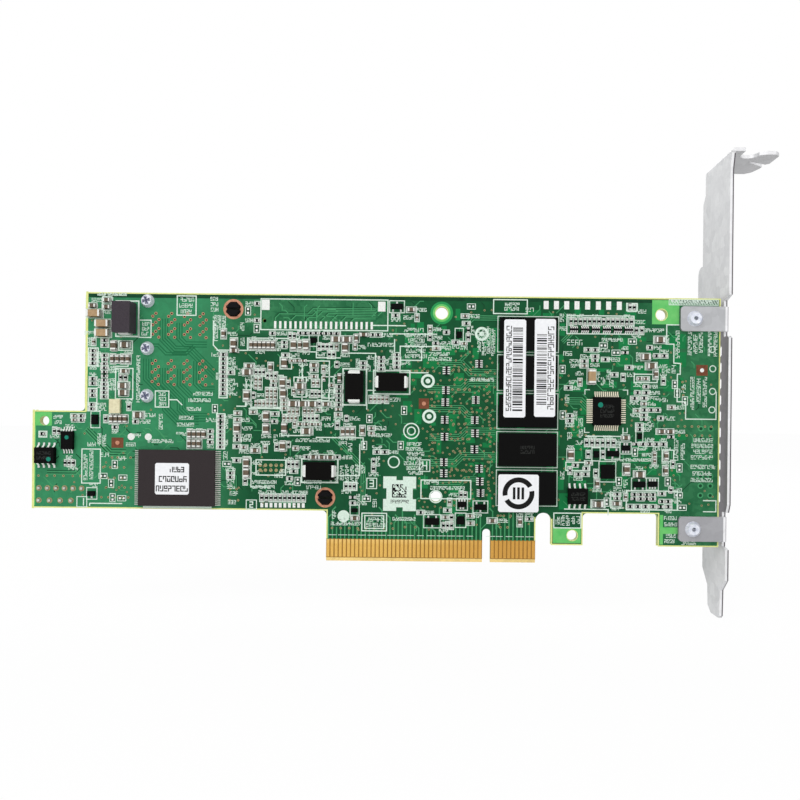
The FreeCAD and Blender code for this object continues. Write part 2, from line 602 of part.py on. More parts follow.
def build_bracket():
    body = new_body("bracket")
    plate = new_sketch(body, "plate_outline", "YZ_Plane", INNER_FACE)
    half = S.fold_width / 2
    relief = S.sheet_thick + S.fold_relief
    swell = NEAR_EDGE - S.bracket_swell
    tail_near = NEAR_EDGE + S.tail_inset
    tail_far = tail_near + S.tail_width
    tip = -S.bracket_tip
    step = NEAR_EDGE + S.near_step
    lug = FAR_EDGE + S.lug_reach
    upper_far = FAR_EDGE - S.upper_inset
    lower_far = FAR_EDGE - S.lower_inset
    narrow = FAR_EDGE - S.neck_inset
    polygon(plate, [
        (SPUR_EDGE, S.bracket_top), (swell, S.bracket_top - 5.0), (swell, S.upper_fold + half + 2.6),
        (step, S.upper_fold + half + 1.6), (step, S.upper_fold + half),
        (FOLD_FACE, S.upper_fold + half), (FOLD_FACE, S.upper_fold - half),
        (FOLD_FACE + relief, S.upper_fold - half), (FOLD_FACE + relief, S.upper_fold - half - relief),
        (NEAR_EDGE, S.upper_fold - half - relief), (swell, S.upper_fold - half - 1.8),
        (swell, S.lower_fold + half + 3.2), (NEAR_EDGE, S.lower_fold + half + relief),
        (FOLD_FACE + relief, S.lower_fold + half + relief), (FOLD_FACE + relief, S.lower_fold + half),
        (FOLD_FACE, S.lower_fold + half), (FOLD_FACE, S.lower_fold - half),
        (FOLD_FACE + relief, S.lower_fold - half), (FOLD_FACE + relief, S.lower_fold - half - relief),
        (NEAR_EDGE, S.lower_fold - half - 1.8), (NEAR_EDGE, -3.5), (tail_near - 0.3, -6.4),
        (tail_near, tip + 0.6), (tail_near + 0.8, tip), (tail_far - 2.3, tip), (tail_far, tip + 1.6),
        (tail_far + 0.3, -6.8), (lower_far, -2.9), (lower_far, 3.0), (FAR_EDGE, 5.5),
        (FAR_EDGE, S.lug_low - 1.7), (lug, S.lug_low), (lug, S.lug_high),
        (upper_far, S.lug_high + 1.8), (upper_far, S.neck_low - 2.0), (narrow, S.neck_low),
        (narrow, S.bracket_top),
    ])
    pad(body, plate, "plate", S.sheet_thick)

    ear = new_sketch(body, "ear_outline", "XY_Plane", S.bracket_top - S.sheet_thick)
    end = OUTER_FACE + S.ear_reach
    far = FAR_EDGE - S.ear_inset
    slit = OUTER_FACE + S.slit_place
    slit_y = NEAR_EDGE + S.slit_height
    slot_x = OUTER_FACE + S.ear_slot_place
    slot_end = NEAR_EDGE + S.ear_slot_depth - S.ear_slot_width / 2
    wall = slot_x + S.ear_slot_width / 2
    polygon(ear, [
        (INNER_FACE, SPUR_EDGE), (slot_x, SPUR_EDGE), (slot_x, slot_end), (wall, slot_end),
        (wall + 1.6, NEAR_EDGE), (end - 1.2, NEAR_EDGE), (end, NEAR_EDGE + 1.2),
        (end, slit_y + 1.0), (end - 0.8, slit_y + 1.7), (slit, slit_y - 0.35), (slit, slit_y + 0.35),
        (end - 0.9, slit_y + 3.3), (end - 0.9, slit_y + 4.6), (end - 1.8, far - 1.2),
        (end - 3.2, far), (OUTER_FACE + 0.8, far), (INNER_FACE, far),
    ])
    pad(body, ear, "ear", S.sheet_thick)

    for name, height in (("upper", S.upper_fold), ("lower", S.lower_fold)):
        sketch = new_sketch(body, f"{name}_fold", "XZ_Plane", HALF_BOARD)
        rectangle(sketch, INNER_FACE - S.fold_reach / 2, height, S.fold_reach, S.fold_width)
        pad(body, sketch, f"{name}_tab", S.sheet_thick)

    doc.recompute()
    near_slot = new_sketch(body, "ear_slot", "XY_Plane", S.bracket_top)
    rectangle(near_slot, slot_x, (SPUR_EDGE + slot_end) / 2, S.ear_slot_width, slot_end - SPUR_EDGE)
    pocket(body, near_slot, "ear_slot_cut", S.sheet_thick)
    slot_round = new_sketch(body, "ear_slot_end", "XY_Plane", S.bracket_top)
    circle(slot_round, slot_x, slot_end, S.ear_slot_width)
    pocket(body, slot_round, "ear_slot_round", S.sheet_thick)

    vents = new_sketch(body, "vent_outline", "YZ_Plane", OUTER_FACE)
    middle = (NEAR_EDGE + FAR_EDGE) / 2 - S.vent_pitch * (S.vent_columns - 1) / 2
    across = S.vent_size / math.sqrt(3)
    polygon(vents, [(middle + S.vent_size * (math.sin(math.radians(60 * side)) / math.sqrt(3)),
                     S.vent_low + across * math.cos(math.radians(60 * side))) for side in range(6)])
    vent = pocket(body, vents, "vent_cut", S.sheet_thick)
    repeat(body, [vent], "vent_grille", [("Y_Axis", S.vent_pitch, S.vent_columns),
                                         ("Z_Axis", S.vent_pitch, S.vent_rows)])

    rivet_holes = new_sketch(body, "rivet_holes", "XZ_Plane", -FOLD_FACE)
    for x, z in RIVETS:
        octagon(rivet_holes, x, z, S.rivet_shank + S.running_gap * 2)
    drilled = pocket(body, rivet_holes, "rivet_holes_cut", S.sheet_thick)

    folds = [(FOLD_FACE, S.upper_fold), (FOLD_FACE, S.lower_fold)]
    doc.recompute()
    outside = [f"Edge{number}" for number, edge in enumerate(drilled.Shape.Edges, start=1)
               if bend_edge(edge)]
    bends = body.newObject("PartDesign::Fillet", "bends")
    bends.Base = (drilled, outside)
    bind(bends, "Radius", S.bend_outside)
    body.Tip = bends

    tab_left = INNER_FACE - S.fold_reach
    spots = [(tab_left, height + half * sign) for _, height in folds for sign in (1, -1)]
    body.Tip = round_corners(body, bends, "tab_corners", S.fold_corner, ALONG_Y, spots, on_xz)


def build_rivets():
    body = new_body("bracket_rivets", RIVET_X, 0, S.lower_fold)
    profile = new_sketch(body, "rivet_profile", "XY_Plane", 0)
    head = S.rivet_head / 2
    top = FOLD_FACE - S.rivet_dome
    polygon(profile, [(0, top), (head * 0.7, top), (head, FOLD_FACE), (0, FOLD_FACE)])
    dome = revolve(body, profile, "rivet_dome_turned", "Y_Axis")
    shank = new_sketch(body, "rivet_shank_outline", "XZ_Plane", -FOLD_FACE)
    octagon(shank, 0, 0, S.rivet_shank, flats=False)
    post = pad(body, shank, "rivet_post", HALF_BOARD - FOLD_FACE, True)
    rim = new_sketch(body, "rivet_flare_outline", "XZ_Plane", -HALF_BOARD)
    octagon(rim, 0, 0, S.rivet_flare)
    flare = pad(body, rim, "rivet_flare", S.rivet_dome / 2, True)
    bore = new_sketch(body, "rivet_bore_outline", "XZ_Plane", -top)
    octagon(bore, 0, 0, S.rivet_bore)
    cut = pocket(body, bore, "rivet_bore_cut", S.rivet_dome * 2 + S.board_thick + S.sheet_thick)
    repeat(body, [dome, post, flare, cut], "rivet_pair", [("Z_Axis", S.upper_fold - S.lower_fold, 2)])


# ---------------------------------------------------------------- ports

PORT_NEAR = HALF_BOARD
PORT_WIDE = (S.port_pitch + S.port_margin) * 2
PORT_REAR = -S.port_front + S.port_length
PORT_CENTRES = [S.port_middle + S.port_pitch / 2, S.port_middle - S.port_pitch / 2]
CAVITY_LOW = PORT_NEAR + S.cavity_floor
CAVITY_BACK = -S.port_front + S.cavity_depth
CARRIER_Y = CAVITY_LOW + S.cavity_tall / 2


def build_ports():
    body = new_body("port_housing")
    section = new_sketch(body, "housing_section", "YZ_Plane", -S.port_front)
    rectangle(section, PORT_NEAR + S.port_tall / 2, S.port_middle, S.port_tall, PORT_WIDE)
    pad(body, section, "housing_block", S.port_length)
    mouths = new_sketch(body, "cavity_section", "YZ_Plane", -S.port_front)
    for centre in PORT_CENTRES:
        rectangle(mouths, CARRIER_Y, centre, S.cavity_tall, S.cavity_wide)
    pocket(body, mouths, "cavities", S.cavity_depth, True)
    keyway = new_sketch(body, "latch_section", "YZ_Plane", -S.port_front)
    for centre in PORT_CENTRES:
        rectangle(keyway, CAVITY_LOW + S.cavity_tall, centre, 1.2, 4.0)
    pocket(body, keyway, "latch_grooves", S.cavity_depth * 0.7, True)
    pilots = new_sketch(body, "pilot_circles", "XZ_Plane", -PORT_NEAR)
    for x, z in PORT_SCREWS:
        circle(pilots, x, z, S.screw_shank + S.running_gap * 2)
    pocket(body, pilots, "pilot_holes", S.screw_length + S.running_gap * 4)

    for number, centre in enumerate(PORT_CENTRES, start=1):
        carrier = new_body(f"port_carrier_{number}", CAVITY_BACK, CARRIER_Y, centre)
        block = new_sketch(carrier, f"carrier_section_{number}", "YZ_Plane", 0)
        rectangle(block, 0, 0, S.insert_tall, S.insert_wide)
        pad(carrier, block, f"carrier_block_{number}", S.insert_length, True)
        slots = new_sketch(carrier, f"slot_section_{number}", "YZ_Plane", -S.insert_length)
        for side in (1, -1):
            rectangle(slots, S.card_slot_place * side, 0, S.card_slot, S.insert_wide - 1.0)
        pocket(carrier, slots, f"card_slots_{number}", S.card_slot_depth, True)

        blades = new_body(f"port_contacts_{number}", CAVITY_BACK, CARRIER_Y, centre)
        first = -S.contact_pitch * 4 - S.contact_width / 2
        rows = new_sketch(blades, f"blade_rows_{number}", "XY_Plane", first)
        for side in (1, -1):
            for face in (1, -1):
                wall = S.card_slot_place * side + (S.card_slot / 2) * face
                inner = wall - S.contact_thick * face
                low = -S.insert_length + 0.6
                polygon(rows, [(low, wall), (low + 4.2, wall), (low + 4.2, inner), (low, inner)])
        strip = pad(blades, rows, f"blades_{number}", S.contact_width)
        repeat(blades, [strip], f"blade_row_{number}", [("Z_Axis", S.contact_pitch, 9)])

    shell = new_body("port_shell")
    wrap = new_sketch(shell, "shell_section", "YZ_Plane", -S.port_front + 0.3)
    top = PORT_NEAR + S.port_tall
    side = PORT_WIDE / 2
    thick = S.shell_thick
    mid = S.port_middle
    polygon(wrap, [(PORT_NEAR, mid - side - thick), (top + thick, mid - side - thick),
                   (top + thick, mid + side + thick), (PORT_NEAR, mid + side + thick),
                   (PORT_NEAR, mid + side), (top, mid + side), (top, mid - side),
                   (PORT_NEAR, mid - side)])
    pad(shell, wrap, "shell_wrap", S.port_length - 0.3)
    windows = new_sketch(shell, "latch_windows", "XZ_Plane", -top - thick)
    for centre in PORT_CENTRES:
        rectangle(windows, -S.port_front + 4.6, centre, 2.2, 3.2)
        rectangle(windows, PORT_REAR - 6.0, centre, 5.0, 1.4)
    pocket(shell, windows, "latch_window_cuts", thick, True)


def build_port_screws():
    body = new_body("port_screws", -S.screw_place, -HALF_BOARD, S.port_middle - S.port_pitch)
    profile = new_sketch(body, "screw_profile", "XY_Plane", 0)
    head = S.screw_head / 2
    polygon(profile, [(0, -S.screw_dome), (head * 0.7, -S.screw_dome), (head, 0), (0, 0)])
    dome = revolve(body, profile, "screw_head_turned", "Y_Axis")
    shank = new_sketch(body, "screw_shank_outline", "XZ_Plane", 0)
    octagon(shank, 0, 0, S.screw_shank, flats=False)
    post = pad(body, shank, "screw_post", S.board_thick + S.screw_length, True)
    cross = new_sketch(body, "cross_outline", "XZ_Plane", S.screw_dome)
    arm, wide = S.cross_span / 2, S.cross_width / 2
    polygon(cross, [(-arm, -wide), (-wide, -wide), (-wide, -arm), (wide, -arm), (wide, -wide),
                    (arm, -wide), (arm, wide), (wide, wide), (wide, arm), (-wide, arm),
                    (-wide, wide), (-arm, wide)])
    recess = pocket(body, cross, "cross_recess", S.cross_depth)
    repeat(body, [dome, post, recess], "screw_row", [("Z_Axis", S.port_pitch, 3)])


# ---------------------------------------------------------------- controller and heatsink

SUBSTRATE_Y = HALF_BOARD + S.ball_height
LID_Y = SUBSTRATE_Y + S.substrate_thick
THERMAL_Y = LID_Y + S.lid_thick
SINK_Y = THERMAL_Y + S.pad_thick
FIN_Y = SINK_Y + S.sink_base


def build_controller():
    x, z = -S.sink_x, S.sink_z
    field = S.substrate_side - S.ball_margin * 2
    front_box("controller_balls", x, z, field, field, S.ball_height)
    front_box("controller_substrate", x, z, S.substrate_side, S.substrate_side, S.substrate_thick,
              S.ball_height)
    lid = new_body("controller_lid", x, LID_Y, z)
    rim = new_sketch(lid, "lid_rim", "XZ_Plane", 0)
    rectangle(rim, 0, 0, S.lid_side, S.lid_side)
    pad(lid, rim, "lid_skirt", S.lid_thick / 2, True)
    crown_sketch = new_sketch(lid, "lid_crown_outline", "XZ_Plane", -S.lid_thick / 2)
    crown = S.lid_side - S.lid_step * 2
    rectangle(crown_sketch, 0, 0, crown, crown)
    pad(lid, crown_sketch, "lid_crown", S.lid_thick / 2, True)
    front_box("thermal_pad", x, z, crown, crown, S.pad_thick, THERMAL_Y - HALF_BOARD)


def build_heatsink():
    body = new_body("heatsink", -S.sink_x, SINK_Y, S.sink_z)
    base = new_sketch(body, "sink_base_outline", "XZ_Plane", 0)
    rectangle(base, 0, 0, S.sink_wide, S.sink_tall)
    pad(body, base, "sink_base_plate", S.sink_base, True)
    fin = new_sketch(body, "fin_outline", "XZ_Plane", -S.sink_base)
    lowest = -S.fin_pitch * (S.fin_count - 1) / 2
    rectangle(fin, 0, lowest, S.sink_wide, S.fin_thick)
    blade = pad(body, fin, "fin", S.fin_height, True)
    repeat(body, [blade], "fins", [("Z_Axis", S.fin_pitch, S.fin_count)])
    clear = S.pin_head + S.pin_room
    seats = new_sketch(body, "pin_seats", "XZ_Plane", -S.sink_base - S.fin_height)
    for sign in (1, -1):
        circle(seats, -S.pin_offset_x * sign, S.pin_offset_z * sign, clear)
    pocket(body, seats, "pin_seat_cuts", S.fin_height, True)
    holes = new_sketch(body, "pin_holes", "XZ_Plane", -S.sink_base)
    for sign in (1, -1):
        octagon(holes, -S.pin_offset_x * sign, S.pin_offset_z * sign, S.pin_hole + S.running_gap * 2)
    body.Tip = pocket(body, holes, "pin_hole_cuts", S.sink_base, True)


def build_push_pins():
    head_low = FIN_Y + S.spring_height
    for number, (x, z) in enumerate(PUSH_PINS, start=1):
        body = new_body(f"push_pin_{number}", x, 0, z)
        profile = new_sketch(body, f"pin_profile_{number}", "XY_Plane", 0)
        head = S.pin_head / 2
        head_top = head_low + S.pin_head_thick
        polygon(profile, [(0, head_low), (head, head_low), (head, head_top), (0, head_top)])
        revolve(body, profile, f"pin_head_turned_{number}", "Y_Axis")
        shank = new_sketch(body, f"pin_shank_outline_{number}", "XZ_Plane", HALF_BOARD)
        octagon(shank, 0, 0, S.pin_shank, flats=False)
        pad(body, shank, f"pin_post_{number}", HALF_BOARD + head_low, True)
        barb = new_sketch(body, f"pin_barb_outline_{number}", "XZ_Plane", HALF_BOARD + S.running_gap)
        octagon(barb, 0, 0, S.pin_barb, flats=False)
        tip = pad(body, barb, f"pin_barb_{number}", S.pin_tip)
        bind(tip, "TaperAngle", -S.pin_barb_slope)
        neck = new_sketch(body, f"pin_neck_outline_{number}", "XZ_Plane", HALF_BOARD)
        octagon(neck, 0, 0, S.pin_shank, flats=False)
        pad(body, neck, f"pin_neck_{number}", S.running_gap)
        split = new_sketch(body, f"pin_split_{number}", "XZ_Plane", HALF_BOARD + S.pin_tip + S.running_gap)
        rectangle(split, 0, 0, S.pin_barb, S.pin_slit)
        pocket(body, split, f"pin_split_cut_{number}", S.pin_tip + S.board_thick)

    springs = new_body("pin_springs", 0, FIN_Y, 0)
    coil = new_sketch(springs, "spring_outlines", "XZ_Plane", 0)
    inner = S.pin_shank + S.spring_room
    for x, z in PUSH_PINS:
        octagon(coil, x, z, inner)
        octagon(coil, x, z, inner + S.spring_wall * 2)
    pad(springs, coil, "spring_sleeves", S.spring_height, True)


# ---------------------------------------------------------------- chips

def build_memory():
    for number in range(5):
        height = S.memory_low + S.memory_pitch * number
        solder_side_box(f"memory_back_{number + 1}", S.memory_x, height, S.memory_length,
                        S.memory_width, S.memory_thick)
    front = new_body("memory_front", S.memory_x, HALF_BOARD, S.memory_low)
    outline = new_sketch(front, "memory_front_outline", "XZ_Plane", 0)
    rectangle(outline, 0, 0, S.memory_length, S.memory_width)
    chip = pad(front, outline, "memory_front_chip", S.memory_thick, True)
    repeat(front, [chip], "memory_front_column", [("Z_Axis", S.memory_pitch, 4)])


def moulded_package(name, x, z, wide, tall, thick):
    """Moulded chip body on the solder side, drafted both ways from its parting line."""
    wide, tall, thick = lift(wide), lift(tall), lift(thick)
    slope = math.tan(math.radians(S.package_draft.value))
    body = new_body(name, x, -HALF_BOARD - S.standoff, z)
    half = thick / 2
    inset = half * slope
    levels = []
    for part, offset, cut in (("foot", 0, inset * 2), ("parting", half, 0), ("crown", thick, inset * 2)):
        sketch = new_sketch(body, f"{name}_{part}", "XZ_Plane", offset)
        rectangle(sketch, 0, 0, wide - cut, tall - cut)
        levels.append(sketch)
    loft = body.newObject("PartDesign::AdditiveLoft", f"{name}_mould")
    loft.Profile = levels[0]
    loft.Sections = levels[1:]
    loft.Ruled = True
    return body


def gull_wings(body, name, body_half, thick, reach, width, pitch, count, along):
    """Two facing rows of bent leads; along is the axis that the rows run on."""
    body_half, reach, pitch, count = [lift(number) for number in (body_half, reach, pitch, count)]
    knee = S.standoff + lift(thick) / 2
    flat = S.lead_thick
    foot = reach * S.foot_share
    start = -pitch * (count - 1) / 2 - lift(width) / 2
    plane, axis = ("XY_Plane", "Z_Axis") if along == "z" else ("YZ_Plane", "X_Axis")
    sketch = new_sketch(body, f"{name}_profile", plane, start)
    for side in (1, -1):
        tip = (body_half + reach) * side
        bend = (body_half + reach - foot) * side
        root = body_half * side
        shape = [(tip, 0), (bend, 0), (root, knee - flat / 2), (root, knee + flat / 2),
                 (bend + flat * side, flat), (tip, flat)]
        if along == "z":
            points = [(a, -b) for a, b in shape]
        else:
            points = [(-b, a) for a, b in shape]
        polygon(sketch, points)
    leads = pad(body, sketch, f"{name}_pair", width)
    repeat(body, [leads], f"{name}_row", [(axis, pitch, count)])


def lead_body(name, x, z):
    return new_body(name, x, -HALF_BOARD, z)


# eight-lead chips: side, x, z
EIGHT_LEAD_CHIPS = (("left", BOARD_LEFT + 3.55, 25.0), ("right", 22.0, 16.4))
SLIM_CHIP = (BOARD_LEFT + 8.8, 28.7)


def build_leaded_chips():
    moulded_package("flash_chip", S.flash_x, S.flash_z, S.flash_length, S.flash_width, S.flash_thick)
    gull_wings(lead_body("flash_leads", S.flash_x, S.flash_z), "flash_lead", S.flash_length / 2,
               S.flash_thick, S.flash_lead_reach, S.flash_lead_width, S.flash_lead_pitch,
               S.flash_leads, "z")
    moulded_package("logic_chip", S.logic_x, S.logic_z, S.logic_side, S.logic_side, S.logic_thick)
    four_sides = lead_body("logic_leads", S.logic_x, S.logic_z)
    for along in ("z", "x"):
        gull_wings(four_sides, f"logic_lead_{along}", S.logic_side / 2, S.logic_thick,
                   S.logic_lead_reach, S.logic_lead_width, S.logic_lead_pitch, S.logic_leads, along)
    for side, x, z in EIGHT_LEAD_CHIPS:
        moulded_package(f"eight_lead_chip_{side}", x, z, S.eight_lead_length, S.eight_lead_width,
                        S.eight_lead_thick)
        gull_wings(lead_body(f"eight_lead_pins_{side}", x, z), f"eight_lead_{side}",
                   S.eight_lead_width / 2, S.eight_lead_thick, S.eight_lead_reach, S.eight_lead_flat,
                   S.eight_lead_pitch, 4, "x")
    moulded_package("slim_chip", *SLIM_CHIP, S.slim_length, S.slim_width, S.slim_thick)
    gull_wings(lead_body("slim_chip_pins", *SLIM_CHIP), "slim_lead", S.slim_width / 2, S.slim_thick,
               S.slim_reach, S.slim_flat, S.slim_pitch, 4, "x")


# ---------------------------------------------------------------- polymer capacitors, crystal

Can = namedtuple("Can", "name x z upright thick")
CANS = (
    Can("polymer_capacitor_1", -32.4, 42.4, True, S.tantalum_thick),
    Can("polymer_capacitor_2", -23.4, 43.6, False, S.tantalum_thick),
    Can("polymer_capacitor_3", -40.7, 21.9, False, S.tantalum_thick),
    Can("tall_capacitor", -87.9, 58.4, True, S.tall_capacitor_thick),
)


def build_cans():
    terminals = new_body("capacitor_ends", 0, -HALF_BOARD, 0)
    caps = {}
    for can in CANS:
        body = new_body(can.name, can.x, -HALF_BOARD, can.z)
        shell = new_sketch(body, f"{can.name}_outline", "XZ_Plane", 0)
        sides = (S.tantalum_width, S.tantalum_length)
        rectangle(shell, 0, 0, *(sides if can.upright else sides[::-1]))
        pad(body, shell, f"{can.name}_case", can.thick)
        group = caps.setdefault(can.thick.text, (can.thick, []))[1]
        middle = (S.tantalum_length + S.terminal_reach) / 2
        for sign in (1, -1):
            if can.upright:
                group.append((can.x, can.z + middle * sign, S.terminal_width, S.terminal_reach))
            else:
                group.append((can.x + middle * sign, can.z, S.terminal_reach, S.terminal_width))
    for number, (thick, spots) in enumerate(caps.values()):
        sketch = new_sketch(terminals, f"capacitor_ends_{number}", "XZ_Plane", 0)
        for spot in spots:
            rectangle(sketch, *spot)
        pad(terminals, sketch, f"capacitor_tabs_{number}", thick * 0.6)


def build_crystal():
    solder_side_box("crystal", S.crystal_x, S.crystal_z, S.crystal_width, S.crystal_length, S.crystal_thick)


# ---------------------------------------------------------------- chip parts in rows

Row = namedtuple("Row", "kind x z step_x step_z count upright", defaults=(0, 0, 1, False))
R2, C2, C3, C5 = "resistors_0402", "capacitors_0402", "capacitors_0603", "capacitors_0805"
C6, ARRAY = "capacitors_1206", "resistor_arrays"

PORT_FILTER = (
    Row(R2, -93.3, 53.1, 0, -1.2, 2), Row(R2, -96.1, 50.5, 0, -1.0, 4),
    Row(R2, -96.1, 43.7, 0, -1.1, 2), Row(R2, -96.1, 40.7, 0, -1.0, 2),
    Row(R2, -96.3, 37.4, 0, -1.0, 2), Row(R2, -93.3, 49.4, 0, -1.0, 11), Row(C3, -92.8, 62.9),
    Row(C3, -92.8, 61.2), Row(C3, -96.3, 61.5), Row(C6, -95.8, 59.6), Row(C6, -93.75, 57.15),
    Row(C6, -93.75, 54.85), Row(C5, -91.0, 51.8, upright=True), Row(C5, -88.3, 52.0),
    Row(C3, -91.3, 48.6, 1.25, 0, 4, True), Row(C3, -88.4, 45.6), Row(R2, -89.3, 44.1, 1.1, 0, 2, True),
    Row(C5, -88.6, 42.1), Row(C5, -88.6, 40.4), Row(C3, -91.4, 34.0, 1.1, 0, 4, True),
    Row(C5, -84.9, 35.0),
)
LOGIC_SUPPLY = (
    Row(C5, -61.9, 52.6, upright=True), Row(C3, -61.8, 50.9), Row(C3, -64.4, 55.0, upright=True),
    Row(C5, -60.9, 32.0, upright=True), Row(C3, -72.4, 30.5, 1.15, 0, 4, True),
    Row(C3, -72.4, 28.2, 1.15, 0, 3, True), Row(C5, -47.3, 52.4, upright=True),
    Row(C3, -45.8, 52.4, upright=True), Row(C5, -44.3, 52.4, upright=True),
    Row(C3, -57.6, 52.3, 1.05, 0, 6, True), Row(C5, -34.8, 51.9, upright=True), Row(C5, -37.0, 53.9),
    Row(C5, -34.4, 53.9), Row(C3, -32.1, 54.2, upright=True), Row(C3, -30.3, 55.1),
    Row(C5, -49.5, 48.0, upright=True), Row(C3, -42.3, 47.5), Row(C3, -58.1, 47.2),
    Row(C5, -58.5, 45.7), Row(C3, -52.9, 46.9, upright=True), Row(C5, -49.9, 43.2, upright=True),
    Row(C5, -49.7, 40.6, upright=True), Row(C5, -45.7, 42.4), Row(C3, -36.1, 44.5, upright=True),
    Row(R2, -64.4, 49.9, 0, -1.05, 10), Row(R2, -64.9, 34.9, 0, -0.93, 9),
    Row(R2, -45.7, 55.3, 1.25, 0, 8),
)
CONTROLLER_BYPASS = (
    Row(C5, -58.6, 40.0, upright=True), Row(C5, -47.3, 38.1, 2.35, 0, 3), Row(C3, -39.3, 38.1),
    Row(C5, -53.8, 35.0, upright=True), Row(C5, -53.8, 32.0, upright=True),
    Row(C5, -49.4, 32.3, upright=True), Row(C5, -43.9, 31.5), Row(C3, -35.1, 31.5, 1.15, 0, 3, True),
    Row(C3, -30.4, 31.8, upright=True), Row(C3, -18.8, 61.3),
)
MEMORY_TERMINATION = tuple(Row(ARRAY, x, z, upright=True) for x, z in (
    (-10.1, 46.6), (-10.2, 41.8), (-10.3, 38.9), (-10.4, 34.6), (-10.4, 30.5), (-10.5, 24.3), (-10.5, 21.6),
    (-2.2, 48.3), (-2.9, 39.5), (-3.1, 34.6), (-3.0, 31.4), (-3.1, 27.5), (-1.9, 22.8), (-1.7, 19.7),
    (-1.5, 16.9))) + (
    Row(R2, -10.2, 55.9), Row(C2, -5.7, 59.9), Row(R2, -5.4, 58.1), Row(R2, -4.9, 56.4, upright=True),
    Row(R2, -4.9, 54.7, upright=True), Row(R2, -7.9, 53.5), Row(C2, -5.9, 53.2), Row(R2, -12.8, 53.2),
    Row(C2, -12.6, 52.0), Row(R2, -14.2, 54.6, upright=True), Row(C2, -14.2, 56.6, upright=True),
)
BRACKET_END = (
    Row(R2, 34.4, 62.4, 1.0, 0, 2, True), Row(R2, 20.1, 58.9, 1.13, 0, 14, True),
    Row(ARRAY, 20.8, 56.9, 2.66, 0, 6), Row(R2, 36.0, 56.8, 1.3, 0, 2, True), Row(C5, 41.7, 54.6),
    Row(R2, 24.3, 52.0, 1.7, 0, 2), Row(R2, 26.0, 50.4, 0, -1.0, 2), Row(C5, 38.3, 50.4),
    Row(R2, 40.9, 50.7, 1.9, 0, 2), Row(C5, 39.7, 48.2), Row(C3, 40.8, 46.2, upright=True),
    Row(C2, 36.9, 45.1, 1.45, 0, 2), Row(R2, 36.4, 41.7, 2.1, 0, 2), Row(R2, 38.1, 37.5, 1.65, 0, 3),
    Row(R2, 38.0, 36.2, 0, -1.0, 2), Row(R2, 37.0, 33.8, 0, -1.05, 2), Row(C3, 42.3, 32.3, 2.1, 0, 2),
    Row(C6, 25.2, 45.5, upright=True), Row(R2, 20.0, 35.9, 0, -1.2, 2), Row(C3, 33.6, 30.7),
)
POWER_END = (
    Row(R2, 24.2, 29.4, 1.3, 0, 6, True), Row(C5, 20.3, 26.4, upright=True),
    Row(R2, 22.2, 21.7, 1.75, 0, 2), Row(C3, 26.8, 19.5, upright=True),
    Row(C5, 33.9, 23.0, upright=True), Row(C5, 37.1, 21.8), Row(C3, 43.4, 22.8, upright=True),
    Row(R2, 36.2, 29.2, 1.65, 0, 5), Row(C3, 43.5, 26.4, upright=True),
    Row(C2, 40.7, 26.6, 0, -1.5, 2, True), Row(R2, 31.7, 16.9, 0, -0.95, 2), Row(C3, 31.6, 14.7),
    Row(R2, 35.9, 16.9, 1.5, 0, 4), Row(R2, 35.9, 15.9, 1.5, 0, 4), Row(R2, 34.9, 14.0, 1.85, 0, 6),
    Row(R2, 42.6, 15.3, 1.5, 0, 2), Row(C5, 27.1, 14.5), Row(C3, 8.1, 10.0, upright=True),
    Row(C3, 1.4, 10.2), Row(R2, -10.4, 8.9, 0.95, 0, 3, True), Row(R2, -6.2, 16.4, 0.95, 0, 2, True),
)
LOWER_LEFT = (
    Row(C5, -58.5, 23.7, upright=True), Row(C5, -58.5, 21.3, upright=True),
    Row(R2, -62.4, 21.1, 0, -0.95, 2), Row(C3, -56.4, 26.7), Row(C5, -49.7, 27.8, upright=True),
    Row(R2, -48.2, 23.4, 0.95, 0, 3, True), Row(C3, -42.2, 25.2, 2.05, 0, 3),
    Row(R2, -54.7, 15.2, 1.12, 0, 10, True), Row(R2, -34.2, 18.2, 0.95, 0, 3, True),
    Row(R2, -32.6, 15.5, 0, -1.4, 2), Row(C3, -32.0, 10.5), Row(R2, -27.6, 24.3, 0, -1.8, 2, True),
    Row(R2, -26.8, 26.6, 1.9, 0, 2),
)
# along the left tab: x from the tab's end
LEFT_TAB_ROWS = (
    Row(R2, 5.4, 30.9, 1.0, 0, 2, True), Row(R2, 2.4, 30.2), Row(R2, 8.1, 23.2, 0.95, 0, 3, True),
    Row(R2, 11.9, 34.6, 0, -0.95, 2), Row(C2, 10.2, 34.6, 0, -0.95, 2),
)
BACK_ROWS = (PORT_FILTER + LOGIC_SUPPLY + CONTROLLER_BYPASS + MEMORY_TERMINATION + BRACKET_END
             + POWER_END + LOWER_LEFT)
# on the component side
FRONT_ROWS = (
    Row(ARRAY, 20.6, 22.0, 0, 3.2, 8, True), Row(C5, -21.5, 55.0, 0, -2.2, 4),
    Row(C6, -21.0, 22.0, 0, -2.6, 3), Row(C3, -31.5, 62.4, 2.4, 0, 4),
    Row(C3, -90.0, 33.0, 2.6, 0, 6, True), Row(C3, 28.0, 47.0, 2.2, 0, 6, True),
    Row(C5, 30.5, 18.0, 3.2, 0, 4),
)

